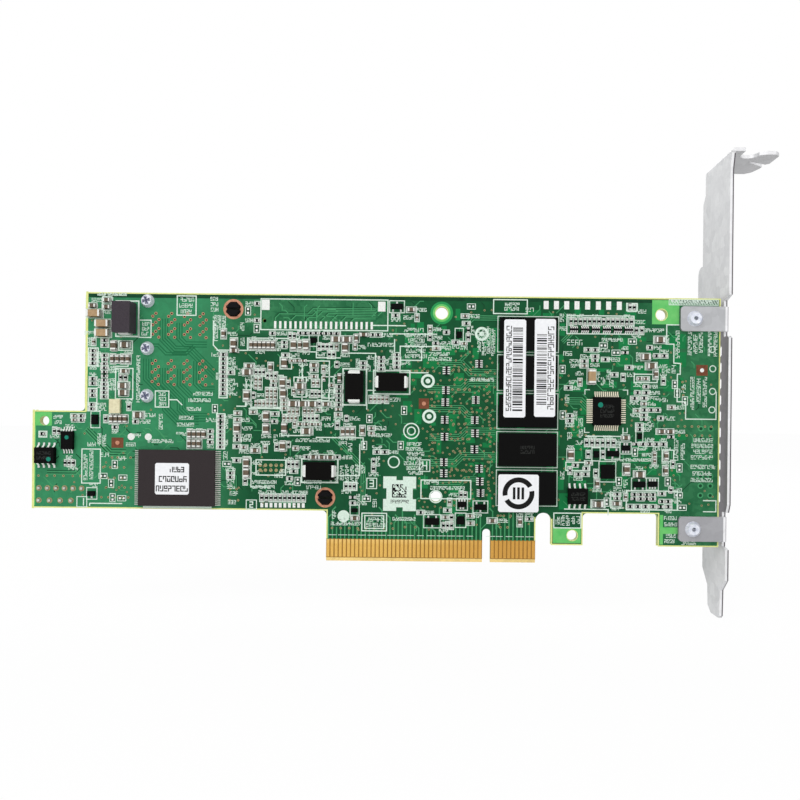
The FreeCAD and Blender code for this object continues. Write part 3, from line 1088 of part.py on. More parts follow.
# small three- to six-lead chips: centre, body, leads above, leads below, lead pitch
SmallChip = namedtuple("SmallChip", "x z wide tall thick upper lower pitch")
SMALL_CHIPS = (
    SmallChip(-22.3, 62.0, 2.9, 1.3, 1.0, 1, 2, 1.9), SmallChip(-42.5, 53.6, 1.5, 1.3, 0.7, 0, 0, 0.65),
    SmallChip(-7.1, 55.3, 1.3, 1.6, 0.6, 0, 0, 0.65), SmallChip(-6.0, 14.1, 2.0, 1.3, 0.9, 3, 2, 0.65),
    SmallChip(-6.3, 10.2, 1.9, 1.9, 0.7, 0, 0, 0.65), SmallChip(-1.5, 13.5, 2.9, 1.3, 1.0, 2, 1, 1.9),
    SmallChip(-13.2, 9.9, 3.4, 1.6, 1.0, 2, 1, 1.9), SmallChip(33.7, 28.2, 2.0, 1.3, 0.9, 2, 3, 0.65),
    SmallChip(26.5, 26.6, 1.3, 1.6, 0.8, 0, 0, 0.65), SmallChip(30.5, 26.8, 2.9, 1.4, 1.0, 2, 1, 1.9),
    SmallChip(29.3, 22.4, 3.4, 3.4, 0.8, 0, 0, 0.65), SmallChip(37.0, 19.4, 2.9, 1.4, 1.0, 1, 2, 1.9),
    SmallChip(40.3, 19.5, 2.2, 1.3, 1.0, 3, 3, 0.65), SmallChip(37.0, 31.1, 1.0, 1.4, 0.7, 0, 0, 0.65),
    SmallChip(-32.1, 12.4, 1.5, 0.9, 0.7, 0, 0, 0.65),
    SmallChip(-96.1, 15.8, 1.8, 1.2, 0.8, 0, 1, 0.65),
    SmallChip(-95.4, 33.8, 1.5, 2.4, 0.9, 0, 0, 0.65),
)


def chip_box(kind, x, z, upright, front):
    length, width, height = CHIP_SIZES[kind]
    wide, tall = (width, length) if upright else (length, width)
    half = HALF_BOARD.value
    low = half if front else -half - height
    return Part.makeBox(wide, height, tall, Vector(x - wide / 2, low, z - tall / 2))


def kept(name, solids):
    """Keeps a group of separate solids as one part."""
    feature = doc.addObject("Part::Feature", name)
    feature.Label = name
    feature.Shape = Part.makeCompound(solids)
    PARTS.append(feature)
    return feature


def build_chip_rows():
    groups = {kind: [] for kind in CHIP_SIZES}
    tables = ((BACK_ROWS, 0.0, False), (LEFT_TAB_ROWS, BOARD_LEFT.value, False), (FRONT_ROWS, 0.0, True))
    for rows, start, front in tables:
        for row in rows:
            for step in range(row.count):
                x = start + row.x + row.step_x * step
                z = row.z + row.step_z * step
                groups[row.kind].append(chip_box(row.kind, x, z, row.upright, front))
    for kind, solids in groups.items():
        kept(kind, solids)


def build_small_chips():
    half = HALF_BOARD.value
    bodies = []
    leads = []
    flat = S.lead_thick.value
    for chip in SMALL_CHIPS:
        corner = Vector(chip.x - chip.wide / 2, -half - chip.thick, chip.z - chip.tall / 2)
        solid = Part.makeBox(chip.wide, chip.thick, chip.tall, corner)
        rim = [edge for edge in solid.Edges
               if all(abs(vertex.Point.y - corner.y) < 0.001 for vertex in edge.Vertexes)]
        bodies.append(solid.makeChamfer(chip.thick * 0.15, rim))
        for count, sign in ((chip.upper, 1), (chip.lower, -1)):
            for step in range(count):
                x = chip.x + (step - (count - 1) / 2) * chip.pitch - 0.2
                z = chip.z + chip.tall / 2 if sign > 0 else chip.z - chip.tall / 2 - 0.55
                leads.append(Part.makeBox(0.4, flat, 0.55, Vector(x, -half - flat, z)))
    kept("small_chips", bodies)
    kept("small_chip_leads", leads)


# ---------------------------------------------------------------- labels, headers, front parts

def build_labels():
    chip_face = HALF_BOARD + S.memory_thick
    flash_face = HALF_BOARD + S.standoff + S.flash_thick
    for name, x, z, face, wide, tall in (
            ("barcode_label_left", 6.4, 47.2, chip_face, S.barcode_width, S.barcode_length),
            ("barcode_label_right", 13.7, 47.4, chip_face, S.barcode_width - 0.2, S.barcode_length),
            ("ring_label", 7.6, 17.0, chip_face, S.ring_label_width, S.ring_label_height),
            ("flash_label", -76.2, 19.65, flash_face, S.flash_label_width, S.flash_label_height)):
        label = new_body(name, x, -face, z)
        outline = new_sketch(label, f"{name}_outline", "XZ_Plane", 0)
        right, top, cut = lift(wide) / 2, lift(tall) / 2, S.label_corner
        polygon(outline, [(right, cut - top), (right, top - cut), (right - cut, top),
                          (cut - right, top), (-right, top - cut), (-right, cut - top),
                          (cut - right, -top), (right - cut, -top)])
        pad(label, outline, f"{name}_paper", S.label_thick)


def build_headers():
    pins = new_body("header_pins")
    for name, header in (("signal_header", SIGNAL_HEADER), ("battery_header", BATTERY_HEADER)):
        x, z, pitch, count = header
        base = new_body(name)
        outline = new_sketch(base, f"{name}_outline", "XZ_Plane", -HALF_BOARD)
        middle = lift(x) + pitch * (count - 1) / 2
        rectangle(outline, middle, z, pitch * count, S.header_depth)
        holes = new_sketch(base, f"{name}_holes", "XZ_Plane", -HALF_BOARD)
        pad(base, outline, f"{name}_block", S.header_base, True)
        for spot in header_spots(header):
            rectangle(holes, *spot, S.header_pin, S.header_pin)
        pocket(base, holes, f"{name}_hole_cuts", S.header_base)
    sketch = new_sketch(pins, "header_pin_squares", "XZ_Plane", HALF_BOARD + S.header_tail)
    for spot in header_spots(SIGNAL_HEADER) + header_spots(BATTERY_HEADER):
        rectangle(sketch, *spot, S.header_pin, S.header_pin)
    pad(pins, sketch, "header_pin_posts", S.header_tail + S.board_thick + S.header_pin_top, True)


# centres on the component side
INDUCTORS = ((-27.0, 55.6), (-27.0, 47.2), (-27.0, 20.6))
FRONT_CAPACITORS = ((-27.0, 39.0), (-27.0, 31.5), (33.0, 38.0), (33.0, 31.0))


def build_front_parts():
    inductors = new_body("power_inductors", 0, HALF_BOARD, 0)
    foot = new_sketch(inductors, "inductor_outline", "XZ_Plane", 0)
    crown = new_sketch(inductors, "inductor_crown_outline", "XZ_Plane", -S.inductor_thick * 0.75)
    top = S.inductor_side - S.inductor_step * 2
    for x, z in INDUCTORS:
        rectangle(foot, x, z, S.inductor_side, S.inductor_side)
        rectangle(crown, x, z, top, top)
    pad(inductors, foot, "inductor_block", S.inductor_thick * 0.75, True)
    pad(inductors, crown, "inductor_crown", S.inductor_thick * 0.25, True)

    mezzanine = new_body("module_connector", S.mezzanine_x, HALF_BOARD, S.mezzanine_z)
    outline = new_sketch(mezzanine, "module_outline", "XZ_Plane", 0)
    rectangle(outline, 0, 0, S.mezzanine_width, S.mezzanine_length)
    pad(mezzanine, outline, "module_block", S.mezzanine_thick, True)
    trough = new_sketch(mezzanine, "module_trough", "XZ_Plane", -S.mezzanine_thick * 0.4)
    for sign in (1, -1):
        rectangle(trough, S.trough_place * sign, 0, S.trough_width, S.mezzanine_length - S.trough_end * 2)
    pocket(mezzanine, trough, "module_trough_cut", S.mezzanine_thick * 0.6)

    cans = new_body("front_capacitors", 0, HALF_BOARD, 0)
    cases = new_sketch(cans, "front_capacitor_outline", "XZ_Plane", 0)
    for x, z in FRONT_CAPACITORS:
        rectangle(cases, x, z, S.tantalum_length, S.tantalum_width)
    pad(cans, cases, "front_capacitor_cases", S.tantalum_thick, True)


build_board()
build_contacts()
build_bracket()
build_rivets()
build_ports()
build_port_screws()
build_controller()
build_heatsink()
build_push_pins()
build_memory()
build_leaded_chips()
build_cans()
build_crystal()
build_chip_rows()
build_small_chips()
build_labels()
build_headers()
build_front_parts()
doc.recompute()

failed = [thing.Name for thing in doc.Objects if {"Invalid", "Error"} & set(thing.State)]
if failed:
    raise RuntimeError(f"features that did not build: {failed}")
os.makedirs("parts", exist_ok=True)
for part in PARTS:
    shape = part.Shape
    if shape.isNull() or not shape.isValid() or not shape.Solids:
        raise RuntimeError(f"{part.Label} has no valid solid")
for part in PARTS:
    part.Shape.exportStep(f"parts/{part.Label}.step")
print(len(PARTS), "sub-parts")
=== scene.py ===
"""Looks of the controller card: materials, solder mask art, silkscreen, labels, camera and light.

Every place is in millimetres in the CAD frame (X along the card, Y from the solder side to the
component side, Z up) and turned to metres when a mesh is made.
"""
import logging
import math
import random
from collections.abc import Iterable, Sequence
from dataclasses import dataclass, field
from enum import Enum
from functools import cache
from typing import ClassVar, NamedTuple

import bpy
from mathutils import Matrix, Vector


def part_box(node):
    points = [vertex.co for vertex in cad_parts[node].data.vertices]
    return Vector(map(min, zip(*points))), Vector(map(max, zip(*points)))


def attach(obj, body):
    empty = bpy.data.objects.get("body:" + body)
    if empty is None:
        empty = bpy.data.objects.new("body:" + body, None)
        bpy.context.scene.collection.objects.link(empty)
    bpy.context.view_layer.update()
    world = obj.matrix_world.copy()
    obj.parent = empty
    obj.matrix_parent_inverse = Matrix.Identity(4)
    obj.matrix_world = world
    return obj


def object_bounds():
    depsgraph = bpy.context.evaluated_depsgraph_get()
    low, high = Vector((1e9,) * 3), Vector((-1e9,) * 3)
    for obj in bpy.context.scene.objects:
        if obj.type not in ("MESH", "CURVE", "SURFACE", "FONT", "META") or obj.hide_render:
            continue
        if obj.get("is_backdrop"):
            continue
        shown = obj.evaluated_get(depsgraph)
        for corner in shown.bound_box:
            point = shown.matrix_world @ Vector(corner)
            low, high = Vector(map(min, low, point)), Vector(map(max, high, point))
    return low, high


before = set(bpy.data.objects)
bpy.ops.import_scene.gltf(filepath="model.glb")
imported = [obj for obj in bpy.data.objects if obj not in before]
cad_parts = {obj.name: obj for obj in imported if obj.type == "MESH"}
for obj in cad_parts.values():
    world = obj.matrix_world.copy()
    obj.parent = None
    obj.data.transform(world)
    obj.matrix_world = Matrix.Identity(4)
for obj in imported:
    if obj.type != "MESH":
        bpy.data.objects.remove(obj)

MM = 0.001
Point = tuple[float, float]
LOG = logging.getLogger("card")


def linear(red: float, green: float, blue: float) -> tuple[float, float, float, float]:
    """Turns an eight-bit display colour into a linear one.

    Args:
        red: Red, 0 to 255.
        green: Green, 0 to 255.
        blue: Blue, 0 to 255.

    Returns:
        The linear colour with full alpha.
    """
    parts = [value / 255 for value in (red, green, blue)]
    out = [part / 12.92 if part <= 0.04045 else ((part + 0.055) / 1.055) ** 2.4 for part in parts]
    return (*out, 1.0)


# ------------------------------------------------------------------ shader graph

class Socket:
    """A node output that takes part in plain arithmetic.

    Args:
        graph: The graph that new maths nodes are added to.
        output: The Blender socket that it stands for.
    """

    def __init__(self, graph: "Graph", output: bpy.types.NodeSocket) -> None:
        """Keeps the graph and the output."""
        self.graph = graph
        self.output = output

    def maths(self, operation: str, *others: "Socket | float") -> "Socket":
        """Adds one maths node.

        Args:
            operation: Blender's name of the operation.
            *others: Further sockets or numbers.

        Returns:
            The result as a socket.
        """
        node = self.graph.add("ShaderNodeMath", dict(enumerate((self, *others))), operation=operation)
        return Socket(self.graph, node.outputs[0])

    def __add__(self, other: "Socket | float") -> "Socket":
        """Adds a socket or a number."""
        return self.maths("ADD", other)

    def __mul__(self, other: "Socket | float") -> "Socket":
        """Multiplies by a socket or a number."""
        return self.maths("MULTIPLY", other)

    __radd__, __rmul__ = __add__, __mul__

    def span(self, low: float, high: float) -> "Socket":
        """Maps low to high onto 0 to 1, held at both ends.

        Args:
            low: Value that becomes 0.
            high: Value that becomes 1.

        Returns:
            The mapped value.
        """
        values = {"Value": self, "From Min": low, "From Max": high}
        node = self.graph.add("ShaderNodeMapRange", values, clamp=True)
        return Socket(self.graph, node.outputs["Result"])


Value = Socket | float | Sequence[float]


class Graph:
    """The node tree of one material or of the world.

    Args:
        owner: The data block with the tree.
    """

    def __init__(self, owner: bpy.types.Material | bpy.types.World) -> None:
        """Starts from an empty tree."""
        owner.use_nodes = True
        self.tree = owner.node_tree
        self.tree.nodes.clear()

    def add(self, kind: str, values: dict[int | str, Value] | None = None,
            **settings: object) -> bpy.types.Node:
        """Adds one node.

        Args:
            kind: Blender's node type.
            values: A link or a value for each named or numbered input.
            **settings: Attributes of the node, set first.

        Returns:
            The new node.
        """
        node = self.tree.nodes.new(kind)
        for name, setting in settings.items():
            setattr(node, name, setting)
        for key, value in (values or {}).items():
            if isinstance(value, Socket):
                self.tree.links.new(value.output, node.inputs[key])
            else:
                node.inputs[key].default_value = value
        return node

    def place(self, stretch: Sequence[float] = (1, 1, 1)) -> Socket:
        """Gives the object's own coordinates in millimetres.

        Args:
            stretch: Factor along each axis.

        Returns:
            The coordinates as a vector socket.
        """
        own = Socket(self, self.add("ShaderNodeTexCoord").outputs["Object"])
        scale = [part / MM for part in stretch]
        scaled = self.add("ShaderNodeMapping", {"Vector": own, "Scale": scale})
        return Socket(self, scaled.outputs["Vector"])

    def part(self, vector: Socket, index: int) -> Socket:
        """Takes one part of a vector.

        Args:
            vector: The vector.
            index: 0, 1 or 2 for X, Y or Z.

        Returns:
            The part.
        """
        return Socket(self, self.add("ShaderNodeSeparateXYZ", {0: vector}).outputs[index])

    def facing(self, index: int) -> Socket:
        """Tells how squarely the surface faces along an axis, either way.

        Args:
            index: 0, 1 or 2 for X, Y or Z.

        Returns:
            A value from 0 to 1.
        """
        normal = Socket(self, self.add("ShaderNodeNewGeometry").outputs["Normal"])
        return self.part(normal, index).maths("ABSOLUTE").span(0.5, 0.8)

    def noise(self, per_mm: float, detail: float = 3.0, stretch: Sequence[float] = (1, 1, 1)) -> Socket:
        """Adds a noise pattern.

        Args:
            per_mm: Pattern scale, features to a millimetre.
            detail: Octaves.
            stretch: Factor along each axis.

        Returns:
            The noise value.
        """
        values = {"Vector": self.place(stretch), "Scale": per_mm, "Detail": detail}
        return Socket(self, self.add("ShaderNodeTexNoise", values).outputs["Fac"])

    def cells(self, per_mm: float) -> Socket:
        """Adds a pattern of square cells with one random value each.

        Args:
            per_mm: Cells to a millimetre.

        Returns:
            The random value of the cell.
        """
        values = {"Vector": self.place(), "Scale": per_mm}
        node = self.add("ShaderNodeTexVoronoi", values, feature="F1", distance="CHEBYCHEV")
        colour = Socket(self, node.outputs["Color"])
        return Socket(self, self.add("ShaderNodeSeparateColor", {0: colour}).outputs[0])

    def blend(self, factor: Socket, first: Value, second: Value) -> Socket:
        """Mixes two colours.

        Args:
            factor: Value from 0 to 1.
            first: Colour at 0.
            second: Colour at 1.

        Returns:
            The mixed colour.
        """
        colour_a, colour_b, mixed = 6, 7, 2
        values = {"Factor": factor, colour_a: first, colour_b: second}
        return Socket(self, self.add("ShaderNodeMix", values, data_type="RGBA").outputs[mixed])

    def bump(self, height: Socket, depth_mm: float) -> Socket:
        """Turns a height into a surface normal.

        Args:
            height: The height pattern.
            depth_mm: Depth of the pattern.

        Returns:
            The normal.
        """
        values = {"Height": height, "Distance": depth_mm * MM, "Strength": 0.8}
        return Socket(self, self.add("ShaderNodeBump", values).outputs["Normal"])

    def seen(self) -> Socket:
        """Tells the rays that show the backdrop: camera, mirror and glass rays.

        Returns:
            1 for such a ray, 0 for light that falls on the card.
        """
        ray = self.add("ShaderNodeLightPath")
        rays = [Socket(self, ray.outputs[f"Is {kind} Ray"]) for kind in ("Camera", "Glossy", "Transmission")]
        return rays[0].maths("MAXIMUM", rays[1].maths("MAXIMUM", rays[2]))

    def choose(self, factor: Socket, first: bpy.types.Node, second: bpy.types.Node) -> Socket:
        """Mixes two shaders.

        Args:
            factor: Value from 0 to 1.
            first: Shader at 0.
            second: Shader at 1.

        Returns:
            The mixed shader.
        """
        shaders = [Socket(self, node.outputs[0]) for node in (first, second)]
        mix = self.add("ShaderNodeMixShader", dict(enumerate((factor, *shaders))))
        return Socket(self, mix.outputs[0])


# ------------------------------------------------------------------ finishes

class Grain(Enum):
    """Kinds of surface pattern."""

    MOTTLE = "fine uneven tone"
    BRUSHED = "long fine lines up the part"
    SPANGLE = "patches of a zinc coat"
    PLANES = "copper planes and runs under solder mask"


@dataclass(frozen=True)
class Finish:
    """One surface finish.

    Args:
        base: Main colour, eight-bit.
        second: Colour that the pattern mixes in.
        rough: Roughness.
        metal: Metallic.
        coat: Clear coat weight.
        shine: Specular level of the bare surface.
        grain: Pattern kind.
        per_mm: Pattern scale.
        relief: Bump depth in millimetres.
    """

    base: tuple[int, int, int]
    second: tuple[int, int, int]
    rough: float
    metal: float = 0.0
    coat: float = 0.0
    shine: float = 0.12
    grain: Grain = Grain.MOTTLE
    per_mm: float = 3.0
    relief: float = 0.01


FINISHES: dict[str, Finish] = {
    "mask": Finish((26, 92, 56), (52, 120, 78), 0.4, grain=Grain.PLANES, per_mm=0.16),
    "mask_trace": Finish((56, 136, 88), (74, 152, 102), 0.4, per_mm=0.6, relief=0.004),
    "mask_dark": Finish((6, 54, 32), (14, 72, 42), 0.4, per_mm=0.6, relief=0.004),
    "mask_patch": Finish((8, 110, 58), (20, 122, 66), 0.4, per_mm=0.6, relief=0.004),
    "mask_gap": Finish((22, 98, 60), (30, 108, 68), 0.4, per_mm=0.6, relief=0.004),
    "mask_ring": Finish((30, 134, 72), (44, 150, 84), 0.4, per_mm=0.6, relief=0.004),
    "mask_bright": Finish((80, 180, 92), (112, 194, 110), 0.42, per_mm=0.5, relief=0.004),
    "laminate": Finish((206, 214, 132), (222, 226, 150), 0.55, per_mm=1.4),
    "silk": Finish((222, 238, 226), (194, 214, 200), 0.62, per_mm=2.5, relief=0.006),
    "gold": Finish((238, 196, 108), (214, 164, 78), 0.4, metal=0.25, grain=Grain.BRUSHED, per_mm=1.6,
                   relief=0.003),
    "gold_soft": Finish((172, 164, 122), (134, 124, 88), 0.4, metal=0.15, per_mm=3.0),
    "copper": Finish((206, 152, 124), (178, 120, 94), 0.42, metal=0.1, per_mm=1.5),
    # the hole finish's dark discs are painted shade, standing for the dark inside of holes that the board
    # mesh does not cut
    "hole": Finish((20, 24, 20), (38, 40, 32), 0.8, per_mm=2.0),
    "tin": Finish((238, 240, 236), (212, 214, 210), 0.34, metal=0.15, shine=0.4, per_mm=4.0, relief=0.012),
    "lead": Finish((206, 208, 202), (156, 158, 150), 0.36, metal=0.3, shine=0.4, per_mm=3.0),
    "lead_pale": Finish((246, 238, 218), (224, 214, 190), 0.4, metal=0.1, shine=0.3, per_mm=3.0),
    "steel": Finish((219, 220, 221), (190, 191, 193), 0.4, metal=0.2, shine=0.3, grain=Grain.SPANGLE,
                    per_mm=0.35, relief=0.004),
    "steel_bright": Finish((236, 238, 244), (190, 196, 212), 0.3, metal=0.3, shine=0.5, per_mm=1.2,
                           relief=0.004),
    "moulding": Finish((7, 7, 7), (15, 15, 15), 0.6, shine=0.05, per_mm=6.0, relief=0.008),
    "flash": Finish((44, 38, 40), (54, 48, 49), 0.55, per_mm=6.0, relief=0.008),
    "capacitor": Finish((7, 6, 6), (15, 14, 13), 0.55, shine=0.05, per_mm=4.0, relief=0.01),
    "tall_capacitor": Finish((52, 46, 52), (66, 60, 66), 0.5, per_mm=5.0, relief=0.01),
    "ceramic": Finish((116, 102, 86), (88, 76, 64), 0.48, per_mm=2.2),
    "ceramic_large": Finish((180, 152, 116), (158, 130, 98), 0.46, per_mm=1.6),
    "resistor": Finish((8, 8, 9), (22, 22, 23), 0.5, shine=0.06, per_mm=3.0),
    "print": Finish((12, 12, 12), (26, 26, 26), 0.6, per_mm=4.0, relief=0.003),
    "shade": Finish((96, 100, 124), (70, 74, 96), 0.5, per_mm=4.0, relief=0.002),
    "mark": Finish((58, 60, 58), (46, 48, 46), 0.6, per_mm=4.0, relief=0.002),
    "teal": Finish((20, 116, 96), (30, 132, 110), 0.5, per_mm=4.0, relief=0.002),
    "paper": Finish((238, 239, 241), (228, 229, 232), 0.58, per_mm=1.5, relief=0.006),
    "anodised": Finish((26, 27, 29), (44, 45, 48), 0.4, metal=0.5, shine=0.4, grain=Grain.BRUSHED,
                       per_mm=1.2, relief=0.004),
    "plastic": Finish((8, 8, 9), (18, 18, 19), 0.55, shine=0.08, per_mm=5.0, relief=0.008),
    "crystal": Finish((226, 220, 186), (204, 196, 158), 0.36, metal=0.2, shine=0.4, per_mm=2.0),
    "rubber": Finish((148, 152, 158), (130, 134, 140), 0.8, per_mm=4.0),
    "fiducial": Finish((124, 76, 54), (96, 56, 38), 0.6, per_mm=2.0),
    "substrate": Finish((30, 84, 52), (44, 100, 64), 0.4, coat=0.2, per_mm=1.0),
}


@dataclass(frozen=True)
class Zone:
    """A part of a node with a colour of its own, or with painted light or shade.

    Args:
        colour: Colour inside the zone, eight-bit.
        ramps: Limits, each as axis number, value just outside and value fully inside.
        facing: Axis that the surface faces there, or None for any.
    """

    colour: tuple[int, int, int]
    ramps: tuple[tuple[int, float, float], ...] = ()
    facing: int | None = None


TONGUE = (0, 12.6, 12.2)
ZONES: dict[str, tuple[Zone, ...]] = {
    "mask": (Zone((52, 134, 90), ((0, -60.0, -70.0),)),
             Zone((14, 82, 46), ((0, -26.0, -16.0), (0, 52.0, 26.0))),
             Zone((16, 82, 48), ((0, -66.0, -58.0), (0, -18.0, -26.0), (2, 57.0, 54.0))),
             Zone((164, 120, 54), ((2, 5.5, 5.35), TONGUE)),
             # the tongue's bevelled lower edge: its own pale colour, raised as painted light because its
             # downward-sloping faces get less light
             Zone((250, 218, 142), ((2, 0.9, 0.8), TONGUE)),
             Zone((190, 198, 132), facing=0), Zone((190, 198, 132), facing=2)),
    # the gold contacts' zones are painted reflection: darker gold towards the right, and a painted highlight
    # near the contacts' upper ends left of the middle
    "gold": (Zone((214, 160, 76), ((0, -26.0, 4.0),)),
             Zone((246, 206, 124), ((2, 4.0, 5.4), (0, 0.0, -14.0)))),
    # the bracket's zones are painted light and shade: painted shade on the faces that face along Y, more on
    # the lower fold tab, a painted highlight on the near half of the plate's edges with painted shade on the
    # far half below the ear, painted shade on the ear's horizontal faces, and painted shade on the plate's
    # faces beside the board
    "steel": (Zone((184, 185, 188), facing=1), Zone((166, 166, 170), ((2, 14.0, 12.0),), facing=1),
              Zone((240, 240, 242), ((0, 57.3, 57.4),), facing=1),
              Zone((84, 78, 84), ((0, 57.95, 58.1), (2, 99.1, 98.9)), facing=1),
              Zone((186, 186, 188), ((2, 98.9, 99.1),), facing=2),
              Zone((134, 130, 138), ((2, 66.0, 62.0), (2, 3.0, 8.0)), facing=0)),
}


# darker tone of a zone's pattern, and how far roughness varies over a surface
ZONE_CONTRAST = 0.9
ROUGH_SWING = 0.14


class Paint:
    """Makes one material for each finish and gives it out by name."""

    def __init__(self) -> None:
        """Starts with no materials."""
        self.made: dict[str, bpy.types.Material] = {}

    def __call__(self, name: str) -> bpy.types.Material:
        """Gives the material of a finish, made on first use.

        Args:
            name: Key in FINISHES.

        Returns:
            The material.
        """
        if name not in self.made:
            self.made[name] = self.build(name, FINISHES[name])
        return self.made[name]

    @staticmethod
    def tone(graph: Graph, finish: Finish) -> Socket:
        """Builds the pattern that mixes a finish's two colours.

        Args:
            graph: The material's graph.
            finish: The finish.

        Returns:
            The mix, from 0 to 1.
        """
        scale = finish.per_mm
        if finish.grain is Grain.BRUSHED:
            return graph.noise(scale * 3, 2, (8, 8, 0.35)).span(0.3, 0.7)
        if finish.grain is Grain.SPANGLE:
            return graph.cells(scale) * 0.5 + graph.noise(scale * 2, 2) * 0.5
        if finish.grain is Grain.PLANES:
            runs = graph.cells(scale * 7).span(0.45, 0.55) * 0.35
            return graph.noise(scale, 2).span(0.35, 0.65) * 0.65 + runs
        return graph.noise(scale, 3).span(0.25, 0.75)

    @staticmethod
    def zoned(graph: Graph, zone: Zone, tone: Socket, colour: Socket) -> Socket:
        """Lays one zone's colour over the rest.

        Args:
            graph: The material's graph.
            zone: The zone.
            tone: The finish's pattern.
            colour: Colour outside the zone.

        Returns:
            The colour with the zone in it.
        """
        factors = [graph.facing(zone.facing)] if zone.facing is not None else []
        factors += [graph.part(graph.place(), axis).span(outer, inner) for axis, outer, inner in zone.ramps]
        inside = math.prod(factors[1:], start=factors[0])
        darker = [part * ZONE_CONTRAST for part in zone.colour]
        return graph.blend(inside, colour, graph.blend(tone, linear(*zone.colour), linear(*darker)))

    def build(self, name: str, finish: Finish) -> bpy.types.Material:
        """Builds the node tree of one finish.

        Args:
            name: Material name.
            finish: What it looks like.

        Returns:
            The material.
        """
        material = bpy.data.materials.new(name)
        graph = Graph(material)
        fine = graph.noise(finish.per_mm * 4, 4)
        tone = self.tone(graph, finish)
        colour = graph.blend(tone, linear(*finish.base), linear(*finish.second))
        for zone in ZONES.get(name, ()):
            colour = self.zoned(graph, zone, tone, colour)
        rough = fine.span(0.2, 0.8) * ROUGH_SWING + (finish.rough - ROUGH_SWING / 2)
        shader = graph.add("ShaderNodeBsdfPrincipled", {
            "Base Color": colour, "Roughness": rough, "Metallic": finish.metal, "Coat Weight": finish.coat,
            "Specular IOR Level": finish.shine, "Normal": graph.bump(fine, finish.relief)})
        graph.add("ShaderNodeOutputMaterial", {"Surface": Socket(graph, shader.outputs[0])})
        return material


# nodes of each finish, by name
FINISH_NODES: dict[str, str] = {
    "mask": "circuit_board",
    "gold": "edge_contacts_back edge_contacts_front",
    "steel": "bracket",
    "steel_bright": "bracket_rivets port_screws pin_springs",
    "plastic": "port_housing port_carrier_1 port_carrier_2 push_pin_1 push_pin_2 signal_header "
               "battery_header module_connector",
    "gold_soft": "port_contacts_1 port_contacts_2",
    "lead": "port_shell controller_lid flash_leads header_pins",
    "tin": "controller_balls eight_lead_pins_left eight_lead_pins_right slim_chip_pins capacitor_ends "
           "small_chip_leads",
    "substrate": "controller_substrate",
    "rubber": "thermal_pad",
    "anodised": "heatsink",
    "moulding": "memory_front memory_back_1 memory_back_2 memory_back_3 memory_back_4 memory_back_5 "
                "logic_chip eight_lead_chip_left eight_lead_chip_right slim_chip small_chips",
    "flash": "flash_chip",
    "lead_pale": "logic_leads",
    "capacitor": "polymer_capacitor_1 polymer_capacitor_2 polymer_capacitor_3 front_capacitors",
    "tall_capacitor": "tall_capacitor",
    "crystal": "crystal",
    "resistor": "resistors_0402 resistor_arrays power_inductors",
    "ceramic": "capacitors_0402 capacitors_0603 capacitors_0805",
    "ceramic_large": "capacitors_1206",
    "paper": "barcode_label_left barcode_label_right ring_label flash_label",
}
NODE_FINISHES = {node: finish for finish, nodes in FINISH_NODES.items() for node in nodes.split()}


# ------------------------------------------------------------------ places on the board

class Side(Enum):
    """The two faces of the board, by the sign of their outward normal along Y."""

    SOLDER = -1
    COMPONENT = 1


@dataclass(frozen=True)
class Island:
    """The box of one solid inside a CAD node, in millimetres.

    Args:
        low: Lowest corner.
        high: Highest corner.
    """

    low: Vector
    high: Vector

    @property
    def centre(self) -> Point:
        """The middle of the box on the board."""
        return ((self.low.x + self.high.x) / 2, (self.low.z + self.high.z) / 2)

    @property
    def size(self) -> Point:
        """The box's width and height on the board."""
        return (self.high.x - self.low.x, self.high.z - self.low.z)

    def grown(self, along: float, up: float) -> tuple[float, float, float, float]:
        """Gives the box's edges on the board, moved outward."""
        return (self.low.x - along, self.high.x + along, self.low.z - up, self.high.z + up)

    @property
    def side(self) -> Side:
        """The board face that the solid stands on."""
        return Side.SOLDER if self.low.y + self.high.y < 0 else Side.COMPONENT

    @property
    def top(self) -> float:
        """The solid's outermost height."""
        return self.low.y if self.side is Side.SOLDER else self.high.y


def node_island(node: str) -> Island:
    """Gives a CAD node's own box.

    Args:
        node: The node's name.

    Returns:
        Its box in millimetres.
    """
    low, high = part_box(node)
    return Island(low / MM, high / MM)


def islands(node: str) -> list[Island]:
    """Splits a CAD node into its separate solids.

    Args:
        node: The node's name.

    Returns:
        One box for each solid.
    """
    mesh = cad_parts[node].data
    owner: dict[tuple[int, int, int], int] = {}
    parent: list[int] = []
    keys = []

    def root(index: int) -> int:
        """Finds the vertex that stands for a group.

        Args:
            index: Any vertex of the group.

        Returns:
            The group's own vertex.
        """
        while parent[index] != index:
            parent[index] = parent[parent[index]]
            index = parent[index]
        return index

    for vertex in mesh.vertices:
        key = tuple(round(part * 1e6) for part in vertex.co)
        if key not in owner:
            owner[key] = len(parent)
            parent.append(len(parent))
        keys.append(owner[key])
    for face in mesh.polygons:
        first = root(keys[face.vertices[0]])
        for corner in face.vertices[1:]:
            parent[root(keys[corner])] = first
    groups: dict[int, list[Vector]] = {}
    for vertex, key in zip(mesh.vertices, keys):
        groups.setdefault(root(key), []).append(vertex.co / MM)
    return [Island(Vector([min(part) for part in zip(*spots)]), Vector([max(part) for part in zip(*spots)]))
            for spots in groups.values()]


BOARD = node_island("circuit_board")
FACES = {Side.SOLDER: BOARD.low.y, Side.COMPONENT: BOARD.high.y}


class Area(NamedTuple):
    """A rectangle on the board, by its edges.

    Args:
        left: Left edge.
        right: Right edge.
        low: Lower edge.
        high: Upper edge.
    """

    left: float
    right: float
    low: float
    high: float

    @classmethod
    def around(cls, x: float, z: float, wide: float, tall: float) -> "Area":
        """Makes the rectangle of a size about a centre."""
        return cls(x - wide / 2, x + wide / 2, z - tall / 2, z + tall / 2)

    @property
    def centred(self) -> tuple[float, float, float, float]:
        """The centre and the size."""
        return ((self.left + self.right) / 2, (self.low + self.high) / 2, self.right - self.left,
                self.high - self.low)


